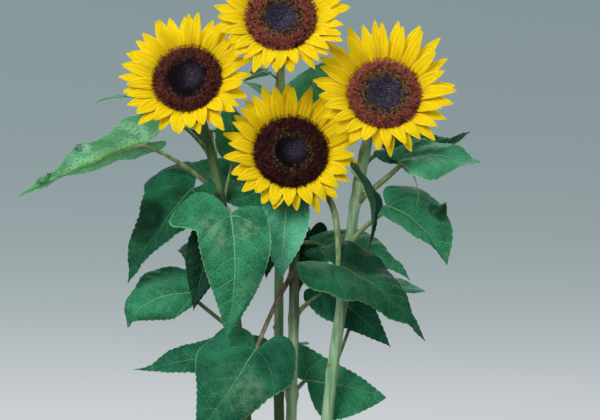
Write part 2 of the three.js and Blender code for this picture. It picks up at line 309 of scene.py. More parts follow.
def makePiece(name, bag, materials, nodes, crease=None):
    piece = makeMesh(name, bag)
    mesh = piece.data
    mesh.polygons.foreach_set("material_index", np.concatenate(bag.looks).astype(np.int32))
    for material in materials:
        mesh.materials.append(material)
    for key, batches in bag.marks.items():
        values = np.zeros((bag.count, 3), np.float32)
        for first, batch in batches:
            values[first:first + len(batch)] = batch
        mesh.attributes.new(key, "FLOAT_VECTOR", "POINT").data.foreach_set("vector", values.ravel())
    mesh.shade_smooth()
    if crease:
        mesh.set_sharp_from_angle(angle=math.radians(crease))
    finishPiece(piece, nodes)


def addSheet(bag, upper, lower, look=0, place=None, **marks):
    # a thin closed body: an upper and a lower grid of points, joined round the rim
    rows, columns = upper.shape[:2]
    points = np.concatenate([upper.reshape(-1, 3), lower.reshape(-1, 3)])
    if place:
        points = place(points)
    both = {name: np.stack([values] * 2) for name, values in marks.items()}
    index = np.arange(rows * columns).reshape(rows, columns)
    corners = [index[:-1, :-1], index[:-1, 1:], index[1:, 1:], index[1:, :-1]]
    top = np.stack(corners, -1).reshape(-1, 4)
    bottom = top[:, ::-1] + rows * columns
    rim = np.concatenate([index[0], index[1:, -1], index[-1, -2::-1], index[-2:0:-1, 0]])
    after = np.roll(rim, -1)
    edge = np.stack([rim, rim + rows * columns, after + rows * columns, after], -1)
    bag.add(points, [top, bottom, edge], look, **both)


def ringWall(rows, sides):
    # a stack of rings: the number of each point, and the faces between the rings
    index = np.arange(rows * sides).reshape(rows, sides)
    turned = np.roll(index, -1, axis=1)
    return index, np.stack([index[:-1], turned[:-1], turned[1:], index[1:]], -1).reshape(-1, 4)


def closedWall(rows, sides):
    # the same, closed by a fan of faces to one more point at the foot and one at the top
    index, wall = ringWall(rows, sides)
    foot, top = rows * sides, rows * sides + 1
    fans = [[foot, index[0, k - sides + 1], index[0, k]] for k in range(sides)]
    fans += [[top, index[-1, k], index[-1, k - sides + 1]] for k in range(sides)]
    return [wall, np.array(fans)]


def framesAlong(points, first=(1, 0.2, 0.1)):
    tangents = unit(np.gradient(points, axis=0))
    across = np.empty_like(tangents)
    reference = np.array(first, float)
    for k, tangent in enumerate(tangents):
        reference = unit(reference - tangent * (reference @ tangent))
        across[k] = reference
    return tangents, across, np.cross(tangents, across)


def tube(points, radii, first=(1, 0.2, 0.1)):
    # radii: one row for each point of the path, one column for each side
    rows, sides = radii.shape
    _, across, along = framesAlong(points, first)
    angle = np.arange(sides) * 2 * math.pi / sides
    out = across[:, None] * np.cos(angle)[None, :, None] + along[:, None] * np.sin(angle)[None, :, None]
    rings = points[:, None] + out * radii[:, :, None]
    places = np.concatenate([rings.reshape(-1, 3), points[:1], points[-1:]])
    return places, closedWall(rows, sides)


def scatter(template, faces, turns, places):
    # copies of one small body: turns are 3 x 3, with any scale in them
    copies = np.einsum("nij,kj->nki", turns, template) + places[:, None]
    steps = np.arange(len(places))[:, None, None] * len(template)
    return copies.reshape(-1, 3), [(batch[None] + steps).reshape(-1, batch.shape[1]) for batch in faces]


# How the plant grew: heads, stems and leaves, as in the model that carries this one

# centre and facing: of the disc; disc and ray: its radius and the rays' length; upper: by what share
# the upper rays are longer and the lower ones shorter; girth: of the stem, as a share of the usual
# budded and opened: closed buds lie inside the first share of the disc's radius, and open florets
# outside the second; red: the share of open florets that have turned brown-red; olive: of half open
# florets that are olive; lit, maroon and core: how bright all florets are, the brown-red ones, and
# the buds inside and outside the paler patch, which is painted sheen and partly the buds' own greyer tips
heads = {
    "left": dict(
        centre=(-118, 20, 853), facing=(-0.12, -0.93, 0.33), disc=40, ray=40, upper=0.05, girth=0.95,
        budded=0.56, opened=0.66, red=0.8, olive=0.15, lit=1.35, maroon=0.63, core=(1.15, 0.1),
    ),
    "top": dict(
        centre=(-8, -10, 922), facing=(0, -0.94, 0.34), disc=40, ray=39, upper=0.12, girth=0.95,
        budded=0.43, opened=0.64, red=0.9, olive=0.5, lit=1.8, maroon=1, core=(1, 0.5),
    ),
    "right": dict(
        centre=(112, -5, 834), facing=(0.03, -0.94, 0.34), disc=42, ray=43, upper=0.2, girth=1.15,
        budded=0.5, opened=0.7, red=0.95, olive=0.7, lit=1.95, maroon=1, core=(0.85, 0.5),
    ),
    "middle": dict(
        centre=(3, 10, 767), facing=(0.06, -0.95, 0.31), disc=43, ray=38, upper=0.12, girth=1.05,
        budded=0.44, opened=0.62, red=0.5, olive=0.35, lit=1.1, maroon=0.44, core=(1.1, 0.06),
    ),
}

stems = {
    "foot": 52,  # height where the stems leave the crown
    "neck": 26.3,  # from the disc's base back to the stem's end
    "footRadius": 7.2,
    "topRadius": 4.8,
    "neckRadius": 6.2,
    "neckStart": 0.945,  # as a share of the way up
    "inside": 12,  # how far the stem runs on into the head
    "rows": 230,
    "sides": 36,
    # the way each stem goes, from its foot on the crown
    "left": [(-10.5, 5.5), (-33, 18, 240), (-51, 30, 470), (-79, 46, 707), (-99, 54, 795)],
    "top": [(5.5, 10.5), (-3, 26, 240), (-11, 37, 470), (-11, 58, 640), (-10, 55, 800), (-9, 32, 870)],
    "right": [(10.5, -5.5), (27, -4, 240), (47, 1, 470), (66, 14, 610), (80, 27, 713), (95, 32, 786)],
    "middle": [(-5.5, -10.5), (0, -3, 240), (4, 9, 470), (7, 22, 597), (6, 43, 690)],
    "ridges": 9,
    "ridgeDepth": 0.05,  # as a share of the radius
    "twist": (0.8, 1.6),  # radians that the ridges turn on the way up
    "lumps": 0.02,
    "nodeSwell": 0.16,  # how much thicker a stem is where a leaf leaves it
    "nodeReach": 7,
    "bristles": 1500,  # on each stem
    "bristleLength": 1.9,
    "scars": {  # height and compass turn of old leaf scars
        "left": [(448, 250), (150, 60)],
        "top": [(560, 200), (182, 330)],
        "right": [(588, 325), (518, 215), (300, 250), (140, 20)],
        "middle": [(400, 320), (128, 240)],
    },
    "scarReach": 1.6,
    "scarRadii": [3.51, 3.375, 2.97, 2.7, 2.646, 2.43, 1.485],
}

# at: height where the stalk leaves its stem; base and tip: the ends of the midrib; face: the way
# the upper side looks; rise and sway: how the stalk bows; stalk: its thickness, as a share of the
# usual; arch: how the midrib bows towards its upper side; sickle: how it bows to the right; fold:
# degrees each half is raised; curl: how far the margins droop; taper: above 1 for a longer point
# halves, lobes and backs: how wide the left and right halves are, how wide their basal lobes, and
# how far back those reach, all as shares of the usual
# ears: (side, along, length, share) where the blade is broader, by a share of its width there
# swells: (across -1 to 1, along 0 to 1, reach, height) of bumps and hollows in the blade
# rolls: (side, along, length, degrees) where the margin is rolled under, or over if negative
# paintedShade and sheen: (across, along, reach, share) of patches of painted shade and of painted sheen
# streamer: points of a thin thread that hangs from the leaf
# tint and stalkTint: the leaf's and its stalk's colours; the paintedShade tint is painted shade and the
# light tint painted light
usualLeaf = dict(
    rise=8, sway=(0, 0), stalk=1, arch=8, sickle=0, fold=10, curl=6, taper=1,
    halves=(1, 1), lobes=(1, 1), backs=(1, 1), ears=(), swells=(), rolls=(), paintedShade=(), sheen=(),
    streamer=(), tint="green", stalkTint="green",
)
leafList = [
    # left stem
    dict(stem="left", at=718, base=(-170, 22, 781), tip=(-314, -15, 715), width=80, halves=(0.52, 0.82),
         face=(-0.3, 0.62, 0.7), rise=6, arch=7, curl=4, lobes=(1.6, 1.4), backs=(1, 1.2), tint="pale",
         swells=[(0.9, 0.0, 24, 11)], rolls=[(1, 0.46, 0.03, -120), (1, 0.78, 0.03, -100)],
         paintedShade=[(0.27, 0.79, 11, 0.7), (0.68, 0.46, 9, 0.7)]),
    dict(stem="left", at=760, base=(-143, 84, 812), tip=(-235, 84, 829), width=50,
         face=(0.1, 0.1, 1), arch=18, tint="pale"),
    dict(stem="left", at=690, base=(-66, -38, 697), tip=(-71, -54, 552), width=84, taper=0.95,
         face=(0.1, -0.95, 0.25), rise=10, arch=6, sickle=7, fold=4, halves=(0.98, 0.98),
         lobes=(1, 1.15), backs=(1.3, 0.25), ears=[(-1, 0.05, 0.1, 0.85)],
         swells=[(-1.05, 0.0, 18, 5), (-0.55, 0.3, 22, -3), (0.5, 0.35, 20, 2.5)],
         sheen=[(-0.6, 0.1, 20, 0.5), (0.4, 0.14, 18, 0.5), (-0.35, 0.25, 16, 0.4), (0.5, 0.6, 24, 0.3)]),
    dict(stem="left", at=704, base=(-113, 30, 727), tip=(-187, 8, 615), width=98, taper=0.95,
         face=(-0.4, -0.75, 0.5), rise=6, arch=14, fold=8, tint="deep",
         halves=(0.98, 0.85), lobes=(1.4, 0.9), backs=(1.4, 0.9), ears=[(-1, 0.13, 0.14, 0.28)],
         swells=[(-0.75, 0.02, 24, 8), (-0.5, 0.42, 20, -19), (0.5, 0.5, 24, 4)],
         rolls=[(-1, 0.12, 0.1, 35)],
         paintedShade=[(-0.6, 0.46, 28, 0.9), (-0.2, 0.54, 18, 0.8), (-0.2, 0.08, 12, 0.4)]),
    dict(stem="left", at=704, base=(-63, 62, 773), tip=(-75, 76, 836), width=46,
         face=(0.1, -0.9, 0.35), rise=2, arch=3, curl=4, tint="light"),
    dict(stem="left", at=640, base=(-92, -4, 668), tip=(-110, -18, 584), width=50,
         face=(0.1, -0.97, 0.12), rise=4, arch=5, fold=14, curl=4, tint="paintedShade"),
    # top stem
    dict(stem="top", at=716, base=(-36, 80, 725), tip=(-136, 86, 757), width=74,
         face=(-0.2, -0.7, 0.65), arch=6),
    dict(stem="top", at=828, base=(-20, 32, 836), tip=(-56, 22, 853), width=22,
         face=(0, -0.6, 0.8), rise=2, arch=3, curl=2, tint="light"),
    dict(stem="top", at=852, base=(-26, 24, 866), tip=(-52, 16, 852), width=22,
         face=(0, -0.6, 0.8), rise=2, arch=3, curl=2),
    dict(stem="top", at=806, base=(4, 62, 818), tip=(56, 68, 882), width=62,
         face=(-0.3, -0.8, 0.5), rise=2, arch=5, tint="light"),
    dict(stem="top", at=650, base=(40, 66, 660), tip=(144, 44, 617), width=70, halves=(0.9, 1.1),
         face=(0.15, -0.6, 0.8), arch=14, fold=6, sickle=6, rolls=[(1, 0.75, 0.14, 70)]),
    dict(stem="top", at=668, base=(26, 108, 676), tip=(14, 102, 602), width=56,
         face=(-0.5, -0.85, 0.1), rise=6, arch=5, halves=(1.3, 1), tint="paintedShade"),
    dict(stem="top", at=690, base=(-20, 82, 690), tip=(-27, 76, 618), width=46,
         face=(0.1, -0.95, 0.1), rise=4, arch=3, tint="paintedShade"),
    dict(stem="top", at=524, base=(-112, 11, 606), tip=(-198, 2, 570), width=90, taper=0.72,
         face=(-0.3, -0.65, 0.7), rise=-6, sway=(0, -6), arch=12,
         halves=(1.08, 0.8), lobes=(0.8, 0.6), backs=(0.8, 0.5),
         swells=[(0, 1, 16, -16)], rolls=[(1, 0.5, 0.5, 95)]),
    # right stem
    dict(stem="right", at=750, base=(118, 58, 775), tip=(220, 44, 789), width=66,
         face=(0.1, -0.62, 0.75), rise=4, arch=-9, fold=12, swells=[(0, 1.0, 20, 7)], tint="mid"),
    dict(stem="right", at=711, base=(131, 20, 761), tip=(222, -4, 752), width=80, taper=0.85,
         face=(0.15, -0.6, 0.75), rise=-4, arch=12, fold=6, curl=10, stalk=1.25, tint="pale",
         halves=(1.25, 0.85), lobes=(0.1, 1.3), backs=(0, 1.3), swells=[(0, 0.98, 12, 6)],
         streamer=[(128, 2, 757), (138, -5, 751), (147, -8, 740), (152, -8, 716), (150, -6, 706)]),
    dict(stem="right", at=662, base=(117, 2, 707), tip=(184, -18, 637), width=90, taper=0.9,
         face=(0.45, -0.7, 0.55), rise=2, arch=12, sickle=4,
         halves=(0.72, 1.25), lobes=(0.6, 1.05), backs=(0.7, 1.1),
         swells=[(0.8, 0.46, 10, -5), (0.6, 0.12, 20, 5)], rolls=[(1, 0.46, 0.03, -60)],
         paintedShade=[(0.55, 0.3, 42, 0.3), (0.8, 0.45, 14, 0.8)]),
    dict(stem="right", at=735, base=(74, -44, 752), tip=(86, -54, 642), width=44, taper=2.0,
         face=(0.93, -0.35, 0.1), rise=10, arch=20, fold=40, curl=3, sickle=-4, tint="paintedShade",
         lobes=(0.8, 0.8), backs=(0.15, 0.15), ears=[(-1, 0.4, 0.1, 0.8), (1, 0.4, 0.1, 0.8)],
         rolls=[(1, 0.1, 0.3, 60)]),
    dict(stem="right", at=511, base=(88, 82, 606), tip=(166, 92, 601), width=46, taper=0.7,
         face=(0.1, -0.35, 0.9), rise=-4, arch=8, tint="pale"),
    # middle stem
    dict(stem="middle", at=690, base=(-2, 14, 704), tip=(-9, -4, 618), width=66,
         face=(0, -0.97, 0.2), rise=3, arch=3, fold=28, curl=2, tint="light"),
    dict(stem="middle", at=702, base=(56, -33, 638), tip=(156, -64, 551), width=108, stalk=1.4,
         face=(0.4, -0.55, 0.75), rise=47, sway=(16, 16), arch=16, fold=6, curl=12, tint="deep",
         halves=(1.05, 0.88), lobes=(1.05, 1.25), backs=(1.7, 1.4),
         swells=[(0.9, -0.05, 26, 16), (0.45, 0.2, 16, -7)], paintedShade=[(0.75, 0.03, 42, 0.75)]),
    dict(stem="middle", at=575, base=(42, 47, 606), tip=(121, 40, 538), width=66,
         face=(0.3, -0.88, 0.4), rise=2, arch=10, paintedShade=[(0, 0.1, 30, 0.45)], tint="mid"),
    dict(stem="middle", at=628, base=(-37, -36, 541), tip=(-106, -72, 440), width=112,
         face=(-0.1, -0.85, 0.5), rise=6, arch=12, sickle=5, fold=4, curl=12,
         tint="mid", stalkTint="rust",
         halves=(1.1, 1), lobes=(1, 0.95), backs=(1, 1.5),
         swells=[(-0.45, 0.35, 20, -5), (-0.6, 0.05, 26, 7), (0.6, 0.3, 24, 5)],
         paintedShade=[(0.6, 0.03, 30, 0.45)], sheen=[(0.3, 0.4, 34, 0.4), (0.7, 0.1, 18, 0.3)]),
    dict(stem="middle", at=486, base=(-40, -6, 533), tip=(-176, -16, 511), width=72, taper=1.15,
         face=(-0.1, -0.7, 0.7), rise=2, arch=10, fold=6, swells=[(0, 1, 8, 6)], tint="mid"),
    dict(stem="middle", at=486, base=(16, 41, 500), tip=(116, 37, 478), width=104, taper=0.75,
         face=(0.1, -0.92, 0.38), rise=-2, arch=10, halves=(1, 0.42), lobes=(-0.3, 2.6), backs=(0, 2)),
    # the far side
    dict(stem="left", at=745, base=(-92, 126, 800), tip=(-104, 216, 774), width=80,
         face=(0, 0.3, 0.95), arch=14),
    dict(stem="left", at=618, base=(-84, 92, 656), tip=(-112, 188, 604), width=90,
         face=(-0.15, 0.5, 0.85), arch=16),
    dict(stem="top", at=712, base=(4, 122, 728), tip=(12, 226, 682), width=94,
         face=(0, 0.4, 0.9), arch=16),
    dict(stem="right", at=772, base=(104, 94, 808), tip=(132, 184, 790), width=84,
         face=(0.1, 0.3, 0.95), arch=14),
    dict(stem="right", at=600, base=(84, 118, 640), tip=(100, 216, 600), width=84,
         face=(0.1, 0.45, 0.88), arch=14),
    dict(stem="top", at=488, base=(-22, 92, 536), tip=(-30, 202, 490), width=100,
         face=(-0.05, 0.45, 0.88), arch=16),
    # low on the stems
    dict(stem="left", at=380, base=(-96, 2, 412), tip=(-206, -26, 352), width=104,
         face=(-0.35, -0.4, 0.85), arch=18),
    dict(stem="right", at=372, base=(96, -10, 404), tip=(206, -34, 346), width=106,
         face=(0.35, -0.4, 0.85), arch=18),
    dict(stem="middle", at=330, base=(10, -66, 372), tip=(28, -176, 318), width=108,
         face=(0.05, -0.5, 0.85), arch=18),
    dict(stem="top", at=322, base=(28, 82, 366), tip=(62, 188, 316), width=106,
         face=(0.1, 0.45, 0.88), arch=18),
    dict(stem="left", at=250, base=(-80, 62, 286), tip=(-158, 138, 236), width=104,
         face=(-0.3, 0.35, 0.88), arch=18),
    dict(stem="right", at=236, base=(76, 50, 268), tip=(162, 116, 214), width=104,
         face=(0.3, 0.35, 0.88), arch=18),
    dict(stem="middle", at=206, base=(-58, -50, 244), tip=(-134, -126, 190), width=100,
         face=(-0.3, -0.35, 0.88), arch=18),
]


def centripetal(points, steps=40):
    # a smooth curve through the points, which doesn't overshoot where they are close together
    points = np.asarray(points, float)
    ends = [2 * points[0] - points[1], *points, 2 * points[-1] - points[-2]]
    pieces = []
    s = np.linspace(0, 1, steps, endpoint=False)[:, None]
    for p0, p1, p2, p3 in zip(ends, ends[1:], ends[2:], ends[3:]):
        d0, d1, d2 = [math.sqrt(np.linalg.norm(b - a)) for a, b in ((p0, p1), (p1, p2), (p2, p3))]
        t1 = ((p1 - p0) / d0 - (p2 - p0) / (d0 + d1) + (p2 - p1) / d1) * d1
        t2 = ((p2 - p1) / d1 - (p3 - p1) / (d1 + d2) + (p3 - p2) / d2) * d1
        pieces.append(
            p1 + t1 * s + (3 * (p2 - p1) - 2 * t1 - t2) * s**2 + (2 * (p1 - p2) + t1 + t2) * s**3
        )
    return np.concatenate([*pieces, points[-1:]])


def evenly(points, count):
    # the same path with its points an equal way apart
    way = np.concatenate([[0], np.cumsum(np.linalg.norm(np.diff(points, axis=0), axis=1))])
    at = np.linspace(0, way[-1], count)
    return np.stack([np.interp(at, way, points[:, k]) for k in range(3)], -1)


def stemPath(name, count=400):
    head = heads[name]
    first, *route = stems[name]
    end = np.array(head["centre"]) - unit(head["facing"]) * stems["neck"]
    return evenly(centripetal([(*first, stems["foot"]), *route, end]), count)


def stemRadius(t):
    neck = smooth(stems["neckStart"], 1, t)
    slim = between(stems["footRadius"], stems["topRadius"], t)
    return slim + neck * (stems["neckRadius"] - stems["topRadius"])


def stemPoint(name, height):
    path = stemPath(name)
    return np.array([np.interp(height, path[:, 2], path[:, k]) for k in range(3)])


def makeStems():
    for number, (name, head) in enumerate(heads.items()):
        rng = np.random.default_rng(100 + number)
        path = stemPath(name)
        foot = path[0] + (path[0] - path[2]) * 6
        inside = np.array(head["centre"]) - unit(head["facing"]) * (stems["neck"] - stems["inside"])
        path = evenly(centripetal([foot, *path[::8], path[-1], inside], 10), stems["rows"])
        t = np.linspace(-0.02, 1.01, stems["rows"])[:, None]
        angle = np.arange(stems["sides"]) * 2 * math.pi / stems["sides"]
        twist = t * rng.uniform(*stems["twist"])
        ridge = np.cos(stems["ridges"] * (angle + twist)) + 0.4 * np.cos(4 * angle + 9 * twist)
        radii = head["girth"] * stemRadius(np.clip(t, 0, 1)) * (1 + stems["ridgeDepth"] * ridge)
        height = path[:, 2][:, None]
        radii = radii * (1 + stems["lumps"] * ripples(rng, 60)(height, angle * 20))
        for leaf in leafList:
            if leaf["stem"] == name:
                near = bell(height - leaf["at"] + 2, stems["nodeReach"])
                radii = radii * (1 + stems["nodeSwell"] * near)
        bag = Bag()
        bag.add(*tube(path, radii))
        growBristles(bag, rng, path, radii, stems["bristles"], stems["bristleLength"], look=1)
        for at, compass in stems["scars"][name]:
            turn = math.radians(compass)
            near = radii[np.argmin(np.abs(path[:, 2] - at))].mean()
            out = np.linspace(near - 2, near + stems["scarReach"], len(stems["scarRadii"]))[:, None]
            knob = stemPoint(name, at) + unit((math.cos(turn), math.sin(turn), 0.25)) * out
            wide = np.array(stems["scarRadii"])[:, None] * rng.uniform(0.88, 1.1, (1, 16))
            bag.add(*tube(knob, wide, (0, 0, 1)), look=2)
        finishes = [stemTints[name], bristleHair, scarTan]
        makePiece(f"stem{name.title()}", bag, finishes, [f"stem_{name}"])
    print("stems made")


def growBristles(bag, rng, path, radii, count, length, look, slim=0.11, sunk=0.25):
    # fine stiff hairs, each a three-sided spike with its foot just under the skin
    tangents, across, along = framesAlong(path)
    row = rng.integers(1, len(path) - 1, count)
    angle = rng.uniform(0, 2 * math.pi, count)
    out = across[row] * np.cos(angle)[:, None] + along[row] * np.sin(angle)[:, None]
    side = (angle / (2 * math.pi) * radii.shape[1]).astype(int) % radii.shape[1]
    places = path[row] + out * (radii[row, side] - sunk)[:, None]
    lean = unit(out + tangents[row] * rng.uniform(-0.5, 0.7, count)[:, None])
    across = unit(np.cross(lean, tangents[row]))
    other = np.cross(lean, across)
    tall = length * rng.uniform(0.5, 1.15, count)[:, None]
    turns = np.stack([across * slim, other * slim, lean * tall], -1)
    spike = np.array([(1, 0, 0), (-0.5, 0.87, 0), (-0.5, -0.87, 0), (0, 0, 1)])
    faces = np.array([(0, 2, 1), (0, 1, 3), (1, 2, 3), (2, 0, 3)])
    bag.add(*scatter(spike, [faces], turns, places), look=look)


# Leaves

blade = {
    "columns": 17,  # points across each half, or fewer on a leaf that is narrower than smallWidth
    "smallColumns": 9,
    "smallWidth": 30,
    "fullWidth": 80,  # narrower leaves are less wavy in proportion,
    "toothedWidth": 70,  # and their teeth are shorter
    "thickness": 0.5,
    "rimThickness": 0.3,
    "lobeDepth": 0.16,  # basal lobes, as a share of the blade's length
    "lobeFade": 5,
    "flatShare": 0.45,  # rolled margins start this far out
    "tipWidth": 0.5,
    "toothPitch": 6.6,
    "toothDepth": 1.4,
    "toothShape": [0, 0.45, 0.8, 1.0],  # a row of points for each number
    "wave": 3.6,  # how far the margin waves up and down
    "wavePitch": 62,
    "tilt": 0.8,  # how far the whole blade is uneven
    "tiltPitch": 34,
    "quilt": 1.3,  # how far the blade swells between its side veins
    "valley": 3.0,  # how far it sinks along the midrib and the two strong lowest veins
    "midribValley": 8,  # how wide those hollows are
    "veinValley": 9,
    "rib": 0.6,  # how far a side vein stands out below, and how wide it is
    "ribWidth": 2.2,
    "midrib": 1.3,  # how much further the midrib does
    "midribWidth": 2.0,
    "veinPairs": 6,
    "stalkFoot": 3.1,
    "stalkEnd": 2.2,
    "stalkRows": 56,
    "stalkSides": 12,
    "stalkUnder": (0.03, 0.42),  # the part of the midrib that the stalk runs on under
    "stalkTip": 0.6,
    "stalkSwell": 0.6,  # how much thicker the stalk is where it leaves the stem
    "stalkRidges": 5,
    "stalkRidgeDepth": 0.07,
    "slimWidth": 60,  # narrower leaves have thinner stalks in proportion
    "streamer": 0.9,
    "bristles": 110,  # on each stalk
    "bristleLength": 1.3,
}


def byHalf(pair, u):
    # the value for the left or for the right half
    return np.where(u > 0, pair[1], pair[0])


def bladeWidth(t, taper):
    return (1 - t) ** taper * (0.83 + 2.5 * t - 2.13 * t * t)


def lobeReach(share):
    return np.sin(0.83 * math.pi * share**0.8)


def bladeVeins(x, y, leaf, length):
    # which vein a point lies by: a whole number on each side vein, 0 on the strong lowest one
    # the veins leave the midrib at a slant, bend up towards the margin and crowd together in the lobes
    spacing = length / blade["veinPairs"]
    out = np.abs(x)
    half = leaf["width"] / 2
    climb = np.clip(y / length, 0, 0.5)  # the higher a vein leaves the midrib, the more it climbs
    above = y - 0.015 * length - (0.06 + 1.2 * climb) * out - (0.75 - climb) * out**2 / half
    spread = 0.45 + 0.55 * np.clip(out / half, 0, 1)
    crowd = 1 + (1 / spread - 1) * smooth(0, 10, -above)
    return above * crowd / spacing, spacing


def rollMargin(leaf, u, t, reach):
    # how far out the points lie, and how far they drop, where the margin is rolled
    turn = 0 * u * t
    for side, middle, long, degrees in leaf["rolls"]:
        turn = turn + (np.sign(u) == side) * math.radians(degrees) * bell(t - middle, long)
    flat = blade["flatShare"]
    rolled = np.clip((np.abs(u) - flat) / (1 - flat), 0, 1)
    angle = turn * rolled
    width = (1 - flat) * reach * rolled
    out = np.minimum(np.abs(u), flat) * reach + width * np.sinc(angle / math.pi)
    drop = width * np.sin(angle / 2) * np.sinc(angle / 2 / math.pi)
    return out, drop


def bladeMidrib(leaf, t):
    # points along the midrib, the way it runs and the way its upper side looks
    base, tip, face = np.array(leaf["base"], float), np.array(leaf["tip"], float), unit(leaf["face"])
    rightward = unit(np.cross(face, tip - base))
    control = (base + tip) / 2 + face * 2 * leaf["arch"] + rightward * 2 * leaf["sickle"]
    midrib = (1 - t) ** 2 * base + 2 * t * (1 - t) * control + t**2 * tip
    axis = unit(2 * (1 - t) * (control - base) + 2 * t * (tip - control))
    return midrib, axis, unit(face - axis * (axis @ face)[:, None])


def bladeReach(leaf, t, u):
    # how far out the margin of each half lies, without its teeth
    lobes = 1 + (byHalf(leaf["lobes"], u) - 1) * (1 - t) ** blade["lobeFade"]
    reach = leaf["width"] / 2 * byHalf(leaf["halves"], u) * lobes * bladeWidth(t, leaf["taper"])
    for way, along, far, share in leaf["ears"]:
        reach = reach * (1 + share * (np.sign(u) == way) * plateau(t - along, far))
    return np.maximum(reach, blade["tipWidth"] / 2)


def bladeTeeth(leaf, rng, teeth, t, u):
    # how far the teeth reach out past the margin, or the notches in
    row, shape = np.arange(len(t)), np.array(blade["toothShape"])
    tooth = shape[row % len(shape)][:, None] * smooth(0, 0.06, t) * smooth(1, 0.9, t)
    cut = rng.uniform(0.6, 1.3, (teeth + 1, 2))[row // len(shape)]
    depth = blade["toothDepth"] * min(1, leaf["width"] / blade["toothedWidth"])
    return np.abs(u) ** 14 * np.where(u > 0, cut[:, :1], cut[:, 1:]) * (tooth - 0.5) * depth


def bladeLift(leaf, rng, length, t, u, x, y, out, phase, spacing):
    # how far the blade stands above its flat sheet
    half, right, edge = leaf["width"] / 2, u > 0, np.abs(u) ** 3
    size = min(1, leaf["width"] / blade["fullWidth"])
    wave, tilt = ripples(rng, blade["wavePitch"]), ripples(rng, blade["tiltPitch"])
    waved = blade["wave"] * edge * (wave(y + 300 * right, 40 * right) + 0.35 * tilt(y, 200 * right))
    waved = size * (waved * smooth(1, 0.8, t) + blade["tilt"] * tilt(x, y))
    raised = np.sqrt((out * math.sin(math.radians(leaf["fold"]))) ** 2 + 4) - 2
    droop = leaf["curl"] * (out / half) ** 2
    offVein = np.abs(phase - np.round(phase)) * spacing
    swell = np.clip(offVein * 2 / spacing, 0, 1) * smooth(0, 10, out) * (1 - 0.4 * np.abs(u) ** 6)
    sunk = bell(out, blade["midribValley"]) * smooth(1, 0.7, t)
    sunk = sunk + bell(phase * spacing, blade["veinValley"]) * smooth(4, 16, out) * (1 - edge)
    lift = raised - droop + waved + size * (blade["quilt"] * swell - blade["valley"] * (sunk - 0.35))
    for across, along, far, height in leaf["swells"]:
        lift = lift + height * bell(np.hypot(x - across * half, y - along * length), far)
    return lift


def bladeRibs(leaf, t, out, phase, spacing):
    # how far the veins stand out below
    size = min(1, leaf["width"] / blade["fullWidth"])
    offVein = np.abs(phase - np.round(phase)) * spacing
    strong = between(0.35, 1, bell(np.round(phase), 0.6))
    strong = strong * (1 - 0.6 * np.clip(out / (leaf["width"] / 2), 0, 1))
    onVein = bell(offVein, blade["ribWidth"]) * strong * (phase > -3.2)
    onMidrib = blade["midrib"] * bell(out, blade["midribWidth"]) * between(1.5, 0.4, t)
    return size * blade["rib"] * np.maximum(onVein, onMidrib)


def bladePatches(leaf, length, u, x, y):
    # above 0 in patches of painted shade, below 0 in patches of painted sheen
    half, shade = leaf["width"] / 2, 0 * x
    for across, along, far, share in leaf["paintedShade"]:
        near = smooth(1.25, 0.75, np.hypot(x - across * half, y - along * length) / far)
        shade = np.maximum(shade, share * near * (np.sign(u) * across >= 0))
    for across, along, far, share in leaf["sheen"]:
        shade = shade - share * smooth(1.3, 0.3, np.hypot(x - across * half, y - along * length) / far)
    return shade


def bladeGrid(leaf, rng):
    # t runs from base to tip, u from 1 at the right margin to -1 at the left one
    length = np.linalg.norm(np.array(leaf["tip"]) - leaf["base"])
    teeth = max(5, round(length / blade["toothPitch"]))
    t = np.linspace(0, 1, len(blade["toothShape"]) * teeth + 1)[:, None]
    small = leaf["width"] < blade["smallWidth"]
    steps = np.linspace(0, 1, blade["smallColumns"] if small else blade["columns"])
    steps = 0.012 + 0.988 * (0.35 * steps + 0.65 * np.sin(steps * math.pi / 2))
    u = np.concatenate([steps[::-1], -steps])[None]
    midrib, axis, normal = bladeMidrib(leaf, t)
    side = np.cross(normal, axis)

    reach = bladeReach(leaf, t, u)
    teethOut = bladeTeeth(leaf, rng, teeth, t, u)
    out = np.abs(u) * reach + teethOut
    back = blade["lobeDepth"] * length * (1 - t) ** 3 * lobeReach(np.abs(u)) * byHalf(leaf["backs"], u)
    x, y = np.sign(u) * out, t * length - back
    phase, spacing = bladeVeins(x, y, leaf, length)
    rolledOut, drop = rollMargin(leaf, u, t, reach)
    lift = bladeLift(leaf, rng, length, t, u, x, y, out, phase, spacing) - drop

    spine = midrib[:, None] - axis[:, None] * back[..., None]
    sideways = np.sign(u) * (rolledOut + teethOut) * math.cos(math.radians(leaf["fold"]))
    sheet = spine + side[:, None] * sideways[..., None]
    thick = between(blade["thickness"], blade["rimThickness"], np.abs(u) ** 3) / 2
    low = lift - thick - bladeRibs(leaf, t, out, phase, spacing)
    upper = sheet + normal[:, None] * (lift + thick)[..., None]
    lower = sheet + normal[:, None] * low[..., None]
    veins = np.stack(np.broadcast_arrays(phase, x, y), -1)
    shade = bladePatches(leaf, length, u, x, y)
    margin = np.stack(np.broadcast_arrays(np.abs(u), t, shade), -1)
    middle = upper.shape[1] // 2
    return upper, lower, veins, margin, lower[:, middle - 1:middle + 1].mean(axis=1), normal


